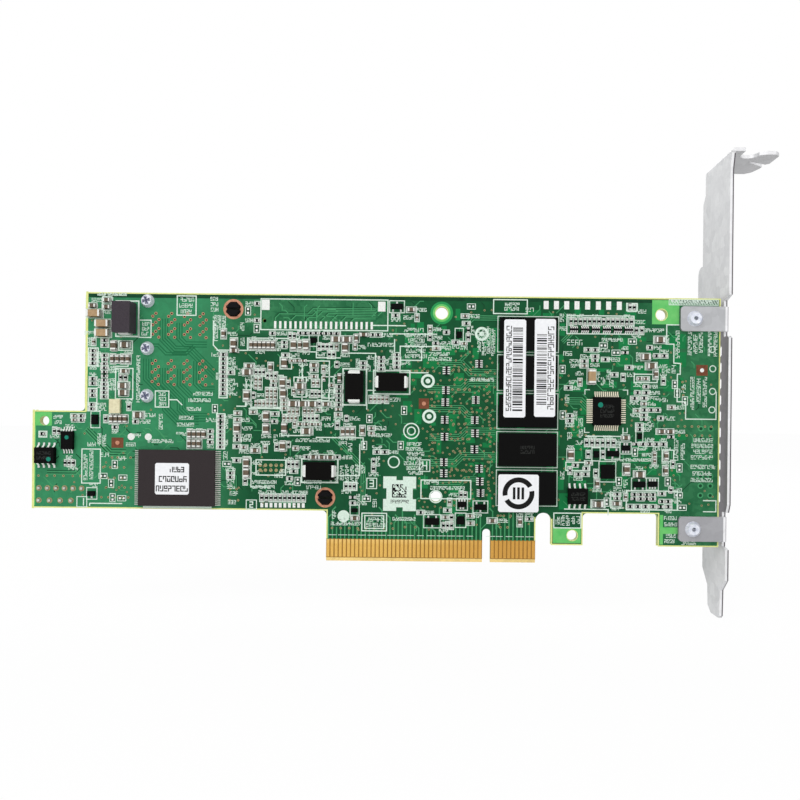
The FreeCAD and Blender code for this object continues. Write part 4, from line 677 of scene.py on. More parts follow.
@dataclass(frozen=True)
class Outline:
    """The rectangles that the board is made of, where the lower ones lap into the main one.

    Args:
        main: The tall part.
        low_tab: The tab at the left end.
        tongue: The contact tongue above its gold contacts.
        small_tab: The small tab beside the tongue.
        end_tab: The tab under the bracket's lower fold.
    """

    main: Area = Area(-98.0, 56.5, 12.2, 64.8)
    low_tab: Area = Area(-110.7, -97.0, 12.2, 35.9)
    tongue: Area = Area(-38.95, 11.95, 6.4, 13.0)
    small_tab: Area = Area(15.75, 23.45, 4.4, 13.0)
    end_tab: Area = Area(41.75, 56.5, 4.3, 13.0)

    def rim(self, inset: float) -> list[Point]:
        """Gives the outline from the low tab clockwise to the small tab, drawn in a little.

        Args:
            inset: How far it is drawn in.

        Returns:
            Its points.
        """
        main, small, end = self.main, self.small_tab, self.end_tab
        left, step, right = self.low_tab.left + inset, main.left + inset, main.right - inset
        base, shoulder, top = main.low + inset, self.low_tab.high - inset, main.high - inset
        return [(left, base), (left, shoulder), (step, shoulder), (step, top), (right, top),
                (right, end.low + inset), (end.left + inset, end.low + inset), (end.left + inset, base),
                (small.right - inset, base), (small.right - inset, small.low + inset),
                (small.left + inset, small.low + inset), (small.left + inset, 10.6)]


OUTLINE = Outline()


@dataclass
class Keepout:
    """Places on one board face that are taken.

    Args:
        areas: The taken rectangles.
    """

    areas: list[Area] = field(default_factory=list)

    def take(self, x: float, z: float, wide: float, tall: float) -> None:
        """Marks a rectangle about a centre as taken."""
        self.areas.append(Area.around(x, z, wide, tall))

    def free(self, x: float, z: float, wide: float, tall: float) -> bool:
        """Tells whether a rectangle about a centre is clear of all taken ones.

        Args:
            x: Centre along the board.
            z: Centre height.
            wide: Width.
            tall: Height.

        Returns:
            True where nothing is in the way.
        """
        left, right, low, high = Area.around(x, z, wide, tall)
        return all(right < area.left or left > area.right or high < area.low or low > area.high
                   for area in self.areas)


def on_board(x: float, z: float, margin: float = 0.6) -> bool:
    """Tells whether a place lies on the board's outline.

    Args:
        x: Place along the board.
        z: Height.
        margin: Distance kept from the edges.

    Returns:
        True on the board.
    """
    return any(left + margin < x < right - margin and low + margin < z < high - margin
               for left, right, low, high in vars(OUTLINE).values())


# ------------------------------------------------------------------ chip parts that the CAD leaves out

class Row(NamedTuple):
    """Evenly spaced chip parts on one board face.

    Args:
        x: Centre of the first along the board.
        z: Its height.
        step_x: Step along the board.
        step_z: Step up.
        count: How many.
        upright: True where their length runs up the board.
    """

    x: float
    z: float
    step_x: float = 0
    step_z: float = 0
    count: int = 1
    upright: bool = False


LOOSE_HEIGHT = {"resistors_0402": 0.35, "capacitors_0402": 0.5}
LOOSE_ROWS = {
    ("resistors_0402", Side.SOLDER): (
        Row(-62.6, 45.6), Row(-60.8, 30.2, 0, -0.95, 2), Row(-60.9, 27.6), Row(-67.4, 31.2, 0, -1.3, 3),
        Row(-56.3, 62.4), Row(-56.3, 58.3), Row(-52.5, 55.2), Row(-48.2, 54.6, 0.95, 0, 2, True),
        Row(-49.6, 53.0, 0, -0.95, 2), Row(-41.2, 52.1, 1.0, 0, 4, True), Row(-28.1, 55.1, 1.3, 0, 2),
        Row(-38.6, 50.2, 0.95, 0, 2, True), Row(-49.3, 49.9), Row(-36.8, 47.8, upright=True),
        Row(-26.0, 49.6, 0, -0.95, 4), Row(-22.2, 50.3, 0, -1.0, 4), Row(-30.4, 48.2, 0, -1.1, 2),
        Row(-42.3, 46.4), Row(-56.4, 45.7, 0.9, 0, 3, True), Row(-53.6, 44.9, 0.95, 0, 3, True),
        Row(-52.2, 42.6), Row(-48.6, 42.9, upright=True), Row(-42.7, 40.6, 0.85, 0, 3, True),
        Row(-36.2, 42.4, 0, -1.1, 5), Row(-34.3, 34.7, upright=True), Row(-36.5, 33.0, upright=True),
        Row(-57.0, 40.1, upright=True), Row(-40.9, 38.2, upright=True), Row(-51.7, 35.6), Row(-51.8, 33.8),
        Row(-44.4, 34.6, 0.95, 0, 4, True), Row(-22.6, 59.9), Row(-87.3, 37.0, upright=True),
        Row(-92.9, 34.0, upright=True), Row(-85.6, 33.4), Row(-90.6, 32.0), Row(39.3, 52.7), Row(33.3, 51.4),
        Row(23.4, 49.2), Row(28.5, 49.7), Row(34.3, 47.8), Row(30.7, 46.0), Row(32.9, 45.4, upright=True),
        Row(42.7, 44.6, upright=True), Row(38.5, 43.2), Row(35.7, 40.3), Row(38.0, 40.4), Row(42.1, 35.5),
        Row(44.7, 31.0), Row(19.6, 42.7), Row(24.6, 26.6, upright=True), Row(28.2, 26.6, upright=True),
        Row(21.5, 23.9), Row(20.2, 22.6, upright=True), Row(24.1, 23.1), Row(26.5, 22.0, upright=True),
        Row(45.2, 24.4, upright=True), Row(44.8, 18.1, upright=True), Row(42.6, 17.2), Row(10.4, 10.7),
        Row(-16.0, 12.0), Row(-9.5, 12.6), Row(-8.5, 10.9, upright=True), Row(-60.9, 24.2),
        Row(-58.8, 19.2, upright=True), Row(-51.2, 27.6, upright=True), Row(-48.4, 28.2, upright=True),
        Row(-47.0, 21.7), Row(-48.0, 19.9), Row(-43.9, 25.2), Row(-36.4, 25.2),
    ),
    ("resistors_0402", Side.COMPONENT): (
        Row(-1.0, 20.0, 0, 1.5, 20), Row(-90.0, 29.5, 1.4, 0, 12, True), Row(28.0, 52.0, 1.5, 0, 9, True),
        Row(30.0, 24.0, 1.5, 0, 8, True),
    ),
    ("capacitors_0402", Side.SOLDER): (
        Row(-60.8, 35.7, 0, -1.6, 2), Row(-36.9, 52.1, upright=True), Row(-32.4, 52.1, upright=True),
        Row(-47.7, 48.6, 1.35, 0, 3), Row(-40.0, 46.6, upright=True), Row(-39.9, 44.5, upright=True),
        Row(-42.4, 43.2, 0.95, 0, 2, True), Row(-42.3, 44.8), Row(-56.4, 43.9, 0.95, 0, 2, True),
        Row(-56.4, 42.4, 0.95, 0, 2, True), Row(-52.1, 43.6), Row(-49.5, 38.9, 0, -0.95, 3), Row(-45.6, 43.8),
        Row(-45.5, 41.0), Row(-47.2, 41.2, upright=True), Row(-38.0, 42.7), Row(-36.3, 36.9),
        Row(-36.3, 35.6), Row(-53.6, 41.1, 0.95, 0, 3, True), Row(-53.6, 39.65, 0.95, 0, 3, True),
        Row(-56.4, 38.1, 0.95, 0, 6, True), Row(-48.2, 36.2, 0.95, 0, 3, True),
        Row(-44.5, 36.4, 0.95, 0, 3, True), Row(-41.3, 36.7), Row(-57.0, 36.0),
        Row(-49.5, 34.6, 0.95, 0, 4, True), Row(-46.9, 33.2, upright=True), Row(-45.5, 33.2, 1.45, 0, 4),
        Row(-28.2, 32.4, 0, -1.3, 2), Row(-28.4, 39.4, 0.95, 0, 5, True), Row(-17.4, 59.4, upright=True),
        Row(-96.0, 52.7, upright=True), Row(23.4, 48.1), Row(38.0, 39.0), Row(44.7, 38.2), Row(36.4, 37.3),
        Row(22.4, 44.1, upright=True), Row(24.7, 24.5), Row(33.8, 16.3, upright=True),
        Row(-9.0, 14.6, upright=True), Row(-10.0, 10.9), Row(-4.0, 11.3), Row(-3.9, 9.5),
        Row(-54.0, 27.2, upright=True), Row(-59.2, 27.4), Row(-46.6, 27.3),
    ),
    ("capacitors_0402", Side.COMPONENT): (
        Row(-7.0, 22.0, 0, 1.6, 18, True),
    ),
}


@cache
def chips_of(node: str) -> list[Island]:
    """Lists every chip part of one kind, the CAD's own and the loose ones.

    Args:
        node: The CAD node of the kind.

    Returns:
        One box for each part.
    """
    return islands(node) + loose_chips(node)


def loose_chips(kind: str) -> list[Island]:
    """Gives the boxes of the chip parts of one kind that only this script makes.

    Args:
        kind: The CAD node of the kind.

    Returns:
        One box for each part.
    """
    found = []
    for side in Side:
        foot = FACES[side]
        levels = sorted((foot, foot + side.value * LOOSE_HEIGHT.get(kind, 0)))
        for row in LOOSE_ROWS.get((kind, side), ()):
            half_x, half_z = (0.25, 0.5) if row.upright else (0.5, 0.25)
            for step in range(row.count):
                x, z = row.x + row.step_x * step, row.z + row.step_z * step
                found.append(Island(Vector((x - half_x, levels[0], z - half_z)),
                                    Vector((x + half_x, levels[1], z + half_z))))
    return found


# ------------------------------------------------------------------ meshes

paint = Paint()


@dataclass
class Shape:
    """A mesh in the making, in millimetres, that becomes one piece.

    Args:
        name: Piece name.
        finish: Key in FINISHES.
    """

    name: str
    finish: str
    points: list[tuple[float, float, float]] = field(default_factory=list, init=False)
    faces: list[tuple[int, ...]] = field(default_factory=list, init=False)

    def build(self) -> None:
        """Makes the piece, if it has faces, and lets it ride on the card."""
        if not self.faces:
            return
        mesh = bpy.data.meshes.new(self.name)
        mesh.from_pydata([[part * MM for part in point] for point in self.points], [], self.faces)
        mesh.update()
        mesh.materials.append(paint(self.finish))
        thing = bpy.data.objects.new(self.name, mesh)
        bpy.context.scene.collection.objects.link(thing)
        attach(thing, "root")
        LOG.info("%s: %d faces", self.name, len(self.faces))


@dataclass
class Sheet(Shape):
    """Flat shapes at one height.

    Args:
        y: Height of the shapes along Y.
        side: The way that the shapes face.
    """

    y: float
    side: Side = Side.SOLDER

    LIFTS: ClassVar[int] = 9
    LIFT: ClassVar[float] = 0.0003

    def polygon(self, corners: Sequence[Point]) -> None:
        """Adds one convex polygon, given anticlockwise as seen from the solder side.

        Args:
            corners: Its corners on the board.
        """
        start = len(self.points)
        # neighbours lie at slightly different heights, because shapes that overlap in one plane turn black
        y = self.y + self.side.value * self.LIFT * (len(self.faces) % self.LIFTS)
        self.points += [(x, y, z) for x, z in corners]
        order = tuple(range(start, start + len(corners)))
        self.faces.append(order if self.side is Side.SOLDER else order[::-1])

    def bar(self, x: float, z: float, wide: float, tall: float) -> None:
        """Adds a rectangle about a centre."""
        left, right, low, high = Area.around(x, z, wide, tall)
        self.polygon([(left, low), (right, low), (right, high), (left, high)])

    def line(self, path: Sequence[Point], width: float) -> None:
        """Adds a run of straight strips.

        Args:
            path: Points of the run.
            width: Strip width.
        """
        for (x0, z0), (x1, z1) in zip(path, path[1:]):
            length = math.hypot(x1 - x0, z1 - z0)
            if length == 0:
                continue
            along = ((x1 - x0) / length * width / 2, (z1 - z0) / length * width / 2)
            x0, z0, x1, z1 = x0 - along[0], z0 - along[1], x1 + along[0], z1 + along[1]
            self.polygon([(x0 + along[1], z0 - along[0]), (x1 + along[1], z1 - along[0]),
                          (x1 - along[1], z1 + along[0]), (x0 - along[1], z0 + along[0])])

    def pierced(self, area: Area, hole: "Hole") -> None:
        """Adds a rectangle with a round hole.

        Args:
            area: The rectangle.
            hole: The hole in it.
        """
        left, right, low, high = area
        x, z, radius = hole
        corners, least = 32, 1e-6
        turns = [math.tau * step / corners for step in range(corners)]
        turns += [math.atan2(b - z, a - x) % math.tau for a in (left, right) for b in (low, high)]
        turns.sort()
        spokes = []
        for turn in turns + turns[:1]:
            a, b = math.cos(turn), math.sin(turn)
            reach = min(((right if a > 0 else left) - x) / a if abs(a) > least else math.inf,
                        ((high if b > 0 else low) - z) / b if abs(b) > least else math.inf)
            spokes.append(((x + radius * a, z + radius * b), (x + reach * a, z + reach * b)))
        for (inner, outer), (next_inner, next_outer) in zip(spokes, spokes[1:]):
            self.polygon([inner, outer, next_outer, next_inner])

    def frame(self, area: Sequence[float], width: float) -> None:
        """Adds a rectangular outline.

        Args:
            area: Left, right, low and high edge.
            width: Line width.
        """
        left, right, low, high = area
        self.line([(left, low), (right, low), (right, high), (left, high), (left, low)], width)

    def ring(self, x: float, z: float, outer: float, inner: float = 0.0, steps: int = 20) -> None:
        """Adds a ring, or a disc where the inner radius is 0.

        Args:
            x: Centre along the board.
            z: Centre height.
            outer: Outer radius.
            inner: Inner radius.
            steps: Corners round the ring.
        """
        angles = [math.tau * step / steps for step in range(steps + 1)]
        turn = [(math.cos(angle), math.sin(angle)) for angle in angles]
        if inner == 0:
            self.polygon([(x + outer * a, z + outer * b) for a, b in turn[:-1]])
            return
        for (a, b), (c, d) in zip(turn, turn[1:]):
            self.polygon([(x + inner * a, z + inner * b), (x + outer * a, z + outer * b),
                          (x + outer * c, z + outer * d), (x + inner * c, z + inner * d)])


class Blocks(Shape):
    """Small solid blocks."""

    def box(self, low: Sequence[float], high: Sequence[float], taper: tuple[float, float] = (0, 0)) -> None:
        """Adds a box whose far face along the outward normal may be smaller.

        Args:
            low: Lowest corner.
            high: Highest corner.
            taper: How far the outer face draws in along X and Z.
        """
        start = len(self.points)
        outward = -1 if low[1] + high[1] < 0 else 1
        near, far = (high[1], low[1]) if outward < 0 else (low[1], high[1])
        for y, dx, dz in ((near, 0, 0), (far, *taper)):
            self.points += [(low[0] + dx, y, low[2] + dz), (high[0] - dx, y, low[2] + dz),
                            (high[0] - dx, y, high[2] - dz), (low[0] + dx, y, high[2] - dz)]
        # the face on the board stays open, because it is never seen
        for quad in ((4, 5, 6, 7), (0, 1, 5, 4), (1, 2, 6, 5), (2, 3, 7, 6), (3, 0, 4, 7)):
            order = tuple(start + index for index in quad)
            self.faces.append(order if outward < 0 else order[::-1])


class Hole(NamedTuple):
    """A plain hole through the board.

    Args:
        x: Centre along the board.
        z: Centre height.
        radius: Its radius.
    """

    x: float
    z: float
    radius: float


HOLES = {"middle_top": Hole(-11.4, 60.6, 1.5), "middle_low": Hole(-12.4, 15.9, 1.3),
         "bracket_end": Hole(42.1, 60.7, 1.35), "small_tab": Hole(20.9, 6.8, 1.25),
         "left_tab": Hole(-107.8, 33.4, 1.15), "push_pin_high": Hole(-62.1, 61.0, 1.63),
         "push_pin_low": Hole(-39.3, 15.4, 1.63)}


def clear_of_holes(*spots: Point) -> bool:
    """Tells whether places stay clear of every plain hole.

    Args:
        *spots: Places on the board.

    Returns:
        True where all are clear.
    """
    room = 1.3
    return all(math.hypot(x - hole.x, z - hole.z) > hole.radius + room
               for x, z in spots for hole in HOLES.values())


# ------------------------------------------------------------------ lettering without words

# strokes of a mark, each from corner to corner of a field one wide and two high
STROKES = {"a": ((0, 2), (1, 2)), "b": ((1, 2), (1, 1)), "c": ((1, 1), (1, 0)), "d": ((0, 0), (1, 0)),
           "e": ((0, 1), (0, 0)), "f": ((0, 2), (0, 1)), "g": ((0, 1), (1, 1))}
DIGITS = {"0": "abcdef", "1": "bc", "2": "abged", "3": "abgcd", "4": "fgbc", "5": "afgcd", "6": "afgedc",
          "7": "abc", "8": "abcdefg", "9": "abcdfg"}


@dataclass
class Scribe:
    """Writes small marks that stand for lettering, and plain digits.

    Args:
        sheet: The sheet written on.
        dice: Seeded random numbers.
    """

    sheet: Sheet
    dice: random.Random

    # distance between marks in a word, and between rows in a block, as a share of the mark's height
    PITCH: ClassVar[float] = 0.82
    ROW_PITCH: ClassVar[float] = 1.45

    def glyph(self, x: float, z: float, size: float, strokes: Iterable[str], turned: bool,
              width: float) -> None:
        """Draws one mark from straight strokes.

        Args:
            x: Centre along the board.
            z: Centre height.
            size: Height of the mark.
            strokes: Names of the strokes.
            turned: True to lay it on its side.
            width: Stroke width.
        """
        for key in strokes:
            ends = [((a - 0.5) * size * 0.5, (b - 1) * size * 0.5) for a, b in STROKES[key]]
            if turned:
                ends = [(-v, u) for u, v in ends]
            self.sheet.line([(x + u, z + v) for u, v in ends], width)

    def word(self, x: float, z: float, size: float, count: int, turned: bool = False,
             width: float = 0.14) -> None:
        """Draws a row of meaningless marks.

        Args:
            x: Centre of the row along the board.
            z: Centre of the row's height.
            size: Mark height.
            count: How many marks.
            turned: True for a row that runs up the board.
            width: Stroke width.
        """
        for step in range(count):
            shift = (step - (count - 1) / 2) * size * self.PITCH
            strokes = self.dice.sample("abcdefg", self.dice.choice((3, 4, 4, 5)))
            spot = (x, z + shift) if turned else (x + shift, z)
            self.glyph(*spot, size, strokes, turned, width)

    def block(self, area: Sequence[float], size: float, turned: bool = False) -> None:
        """Fills a rectangle with rows of marks.

        Args:
            area: Left, right, low and high edge.
            size: Height of a row.
            turned: True for rows that run up the board.
        """
        left, right, low, high = area
        size *= 0.92
        across, along = (right - left, high - low) if turned else (high - low, right - left)
        rows = max(1, int(across / (size * self.ROW_PITCH)))
        for row in range(rows):
            place = (row + 0.5) * across / rows
            count = max(2, int(along / (size * self.PITCH) * self.dice.uniform(0.7, 0.98)))
            middle = along / 2 + self.dice.uniform(-0.05, 0.05) * along
            spot = (left + place, low + middle) if turned else (left + middle, low + place)
            self.word(*spot, size, count, turned)


# ------------------------------------------------------------------ chip parts

TERMINAL_REACH = {"resistors_0402": 0.26, "capacitors_0402": 0.28, "capacitors_0603": 0.38,
                  "capacitors_0805": 0.45, "capacitors_1206": 0.482}


@dataclass
class ChipDressing:
    """End caps, solder, pads and outlines for the chip parts on both faces.

    Args:
        dice: Seeded random numbers.
        keep: Taken places on the solder side.
        caps: The end caps.
        fillets: The solder.
        pad_length: Length of a pad.
        pad_offset: Distance from the chip's end to the pad's centre.
        pad_margin: How much wider than the chip a pad is.
        bare_shade_margin: How much larger than the chip its darker patch of board is, the mask opening
            darkened as painted shade round the part.
        room: How much larger than the chip its taken place is.
        proud: How far an end cap stands off the chip.
    """

    dice: random.Random
    keep: Keepout
    caps: Blocks = field(default_factory=lambda: Blocks("chip_end_caps", "tin"))
    fillets: Blocks = field(default_factory=lambda: Blocks("chip_solder", "lead"))
    pad_length: float = 0.5
    pad_offset: float = 0.12
    pad_margin: float = 0.22
    bare_shade_margin: float = 0.45
    room: float = 0.9
    proud: float = 0.025

    def dress(self, node: str, reach: float, silk: dict[Side, Sheet], pads: dict[Side, Sheet],
              bare: dict[Side, Sheet]) -> None:
        """Dresses every solid of one node.

        Args:
            node: The chip parts' node.
            reach: How far an end cap covers the chip.
            silk: The silkscreen of each face.
            pads: The pads of each face.
            bare: The darker board round the pads of each face, deepened as painted shade round each part.
        """
        for chip in chips_of(node):
            wide, tall = chip.size
            upright = tall > wide
            side = chip.side
            x, z = chip.centre
            half, slim = (tall / 2, wide / 2) if upright else (wide / 2, tall / 2)
            for end in (1, -1):
                self.cap(chip, half * end, reach * end, slim)
                self.solder(chip, half * end, end, slim)
                middle = (half + self.pad_offset) * end
                spot = (x, z + middle) if upright else (x + middle, z)
                size = (slim * 2 + self.pad_margin, self.pad_length)
                pads[side].bar(*spot, *(size if upright else size[::-1]))
            # darker patch round the chip: the mask opening round its pads, also painted shade round the part
            bare[side].bar(x, z, wide + self.bare_shade_margin, tall + self.bare_shade_margin)
            self.outline(chip, silk[side])
            if side is Side.SOLDER:
                self.keep.take(x, z, wide + self.room, tall + self.room)

    @staticmethod
    def lay(blocks: Blocks, chip: Island, span: Sequence[float], across: float, top: float,
            taper: Point) -> None:
        """Adds a block that stands on the board at one end of a chip.

        Args:
            blocks: The blocks added to.
            chip: The chip.
            span: Reach of the block along the chip, from the chip's centre.
            across: Half of its width.
            top: Its outermost height.
            taper: How far its outer face draws in, along X and Z.
        """
        x, z = chip.centre
        levels = sorted((FACES[chip.side], top))
        (left, right), (low, high) = (-across, across), sorted(span)
        if chip.size[0] > chip.size[1]:
            left, right, low, high = low, high, left, right
        blocks.box((x + left, levels[0], z + low), (x + right, levels[1], z + high), taper)

    def cap(self, chip: Island, end: float, reach: float, slim: float) -> None:
        """Adds one end cap, a little proud of the chip.

        Args:
            chip: The chip.
            end: Signed distance from its centre to its end.
            reach: Signed length of the cap.
            slim: Half of the chip's width.
        """
        top = chip.top + math.copysign(self.proud, chip.top)
        span = (end + math.copysign(self.proud, end), end - reach)
        self.lay(self.caps, chip, span, slim + self.proud, top, (0.04, 0.04))

    def solder(self, chip: Island, end: float, sign: int, slim: float) -> None:
        """Adds the solder at one end as a low sloped block.

        Args:
            chip: The chip.
            end: Signed distance from its centre to its end.
            sign: The end's sign.
            slim: Half of the chip's width.
        """
        foot = FACES[chip.side]
        rise = foot + (chip.top - foot) * 0.55
        taper = (0.14, 0.08) if chip.size[0] > chip.size[1] else (0.08, 0.14)
        self.lay(self.fillets, chip, (end - 0.05 * sign, end + 0.26 * sign), slim + 0.06, rise, taper)

    def outline(self, chip: Island, silk: Sheet) -> None:
        """Draws the printed outline round one chip part.

        Args:
            chip: The chip part.
            silk: The silkscreen drawn on.
        """
        wide, tall = chip.size
        x, z = chip.centre
        upright = tall > wide
        beside, past_end, overrun = 0.3, 0.5, 0.2
        framed, lined = 0.62, 0.94
        choice = self.dice.random()
        if choice < framed:
            gap_x, gap_z = (beside, past_end) if upright else (past_end, beside)
            side_x, side_z = wide / 2 + gap_x, tall / 2 + gap_z
            silk.frame((x - side_x, x + side_x, z - side_z, z + side_z), 0.17)
        elif choice < lined:
            for sign in (1, -1):
                if upright:
                    offset = (wide / 2 + beside) * sign
                    ends = [(x + offset, z - tall / 2 - overrun), (x + offset, z + tall / 2 + overrun)]
                else:
                    offset = (tall / 2 + beside) * sign
                    ends = [(x - wide / 2 - overrun, z + offset), (x + wide / 2 + overrun, z + offset)]
                silk.line(ends, 0.18)

    @staticmethod
    def loose_bodies() -> None:
        """Makes the bodies of the chip parts that the CAD leaves out."""
        for kind in LOOSE_HEIGHT:
            bodies = Blocks(f"{kind}_small", NODE_FINISHES[kind])
            for chip in loose_chips(kind):
                bodies.box(chip.low, chip.high, (0.03, 0.03))
            bodies.build()

    def arrays(self, node: str, pads: dict[Side, Sheet]) -> None:
        """Adds the eight terminals of each resistor array.

        Args:
            node: The arrays' node.
            pads: The pads of each face.
        """
        for chip in islands(node):
            wide, tall = chip.size
            x, z = chip.centre
            upright = tall > wide
            side = chip.side
            levels = sorted((FACES[side], chip.top + math.copysign(0.02, chip.top)))
            for step in range(4):
                along = (step - 1.5) * 0.5
                for sign in (1, -1):
                    edge = (wide if upright else tall) / 2
                    span = sorted((edge * sign - 0.3 * sign, edge * sign + 0.03 * sign))
                    first, second = (span, (along - 0.15, along + 0.15))
                    if not upright:
                        first, second = second, first
                    self.caps.box((x + first[0], levels[0], z + second[0]),
                                  (x + first[1], levels[1], z + second[1]), (0.02, 0.02))
                    reach = (edge + 0.16) * sign
                    spot = (x + reach, z + along) if upright else (x + along, z + reach)
                    pads[side].bar(*spot, *((0.42, 0.28) if upright else (0.28, 0.42)))
            if side is Side.SOLDER:
                self.keep.take(x, z, wide + 1.0, tall + 0.6)

    def capacitor_tops(self) -> None:
        """Adds the bright terminal plates that fold over the ends of the polymer capacitors."""
        reach, narrower, proud = 0.6, 0.7, 0.03
        for node in ("polymer_capacitor_1", "polymer_capacitor_2", "polymer_capacitor_3"):
            part = node_island(node)
            upright = part.size[1] > part.size[0]
            for end in (1, -1):
                low, high = list(part.low), list(part.high)
                along, across = (2, 0) if upright else (0, 2)
                edge = high[along] if end > 0 else low[along]
                low[along], high[along] = sorted((edge + end * proud, edge - end * reach))
                low[across], high[across] = low[across] + narrower, high[across] - narrower
                low[1] = part.low.y - proud
                self.caps.box(low, high, (0.04, 0.04))

    def build(self) -> None:
        """Makes the pieces."""
        self.capacitor_tops()
        self.loose_bodies()
        self.caps.build()
        self.fillets.build()


# ------------------------------------------------------------------ board art

def shifted(path: Sequence[Point], distance: float) -> list[Point]:
    """Moves a run of straight lines sideways, keeping its corners sharp.

    Args:
        path: Points of the run.
        distance: How far, to the left of its direction.

    Returns:
        The moved points.
    """
    normals = []
    for (x0, z0), (x1, z1) in zip(path, path[1:]):
        length = math.hypot(x1 - x0, z1 - z0)
        normals.append((-(z1 - z0) / length, (x1 - x0) / length))
    out = []
    for index, (x, z) in enumerate(path):
        before = normals[max(index - 1, 0)]
        after = normals[min(index, len(normals) - 1)]
        joint = (before[0] + after[0], before[1] + after[1])
        scale = 2 / max(joint[0] ** 2 + joint[1] ** 2, 0.2)
        out.append((x + joint[0] * scale * distance, z + joint[1] * scale * distance))
    return out


@dataclass(frozen=True)
class Bundle:
    """Copper runs side by side under the solder mask.

    Args:
        path: Points of the first run.
        count: Runs.
        pitch: Distance between runs.
        width: Width of a run.
    """

    path: tuple[Point, ...]
    count: int = 1
    pitch: float = 0.5
    width: float = 0.22


# gaps between the wide runs round the cable ports: path, count
PORT_RUNS = (
    (((-79.0, 58.4), (-79.0, 53.6), (-76.3, 50.9), (-72.4, 50.9), (-69.2, 47.7), (-66.3, 44.8)), 4),
    (((-75.2, 57.4), (-75.2, 53.8), (-73.7, 52.3), (-68.6, 52.3)), 3),
    (((-82.9, 48.6), (-82.9, 44.0), (-78.2, 39.3), (-78.2, 36.6), (-75.4, 33.8), (-70.4, 33.8)), 4),
    (((-78.9, 46.4), (-78.9, 43.0), (-74.6, 38.7), (-74.6, 36.6), (-72.6, 34.6), (-68.0, 34.6)), 4),
    (((-74.9, 46.2), (-74.9, 42.4), (-71.3, 38.8), (-67.4, 38.8)), 3),
    (((-71.0, 48.2), (-71.0, 42.8), (-69.6, 41.4), (-66.6, 41.4)), 3),
    (((-84.4, 52.0), (-80.4, 52.0), (-78.4, 50.0), (-73.6, 50.0), (-71.6, 52.0)), 2),
)
BUNDLES = (
    Bundle(((-51.9, 58.4), (-51.9, 59.0), (-50.9, 60.0), (-44.0, 60.0), (-42.6, 61.4), (-26.6, 61.4))),
    Bundle(((-48.1, 58.4), (-46.9, 59.6), (-42.9, 59.6), (-41.5, 61.0), (-27.6, 61.0))),
    Bundle(((-44.4, 58.4), (-43.6, 59.2), (-41.8, 59.2), (-40.4, 60.6), (-27.6, 60.6))),
    Bundle(((-40.7, 58.4), (-38.9, 60.2), (-27.6, 60.2))),
    Bundle(((-38.2, 58.4), (-36.8, 59.8), (-27.6, 59.8))),
    Bundle(((-35.7, 58.4), (-34.7, 59.4), (-27.6, 59.4))),
    Bundle(((-33.3, 58.4), (-32.7, 59.0), (-27.6, 59.0))),
    Bundle(((-66.0, 24.0), (-62.0, 20.0), (-62.0, 16.0)), 3, 0.5, 0.2),
    Bundle(((-98.0, 31.0), (-92.0, 25.0), (-88.0, 25.0)), 3, 0.6, 0.24),
    Bundle(((-107.0, 20.4), (-100.0, 20.4), (-97.0, 23.4)), 2, 0.6, 0.24),
    Bundle(((-38.0, 30.0), (-30.6, 22.6), (-30.6, 14.0)), 3, 0.5, 0.2),
    Bundle(((17.8, 60.4), (19.6, 58.6), (19.6, 56.0), (17.8, 54.2)), 3, 0.45, 0.2),
    Bundle(((19.4, 38.8), (22.4, 38.8), (24.0, 37.2)), 4, 0.5, 0.2),
    Bundle(((33.8, 38.8), (36.8, 35.8), (40.6, 35.8)), 3, 0.5, 0.2),
    Bundle(((3.6, 60.0), (-4.0, 60.0), (-7.0, 57.0), (-7.0, 52.0)), 3, 0.5, 0.2),
    Bundle(((-12.0, 47.6), (-6.8, 47.6), (-4.6, 45.4), (2.0, 45.4)), 4, 0.5, 0.2),
    Bundle(((-14.6, 41.4), (-6.0, 41.4), (-4.4, 43.0), (2.0, 43.0)), 4, 0.5, 0.2),
    Bundle(((-14.6, 36.6), (-6.6, 36.6), (-5.0, 35.0), (-3.8, 35.0)), 4, 0.5, 0.2),
    Bundle(((-14.0, 29.6), (-6.4, 29.6), (-4.8, 31.2), (1.8, 31.2)), 4, 0.5, 0.2),
    Bundle(((-13.6, 23.4), (-7.6, 23.4), (-5.8, 25.2), (1.8, 25.2)), 4, 0.5, 0.2),
    Bundle(((-13.0, 18.4), (-6.4, 18.4), (-5.0, 19.8), (-2.6, 19.8)), 3, 0.5, 0.2),
    Bundle(((-33.0, 60.0), (-33.0, 62.8))),
)

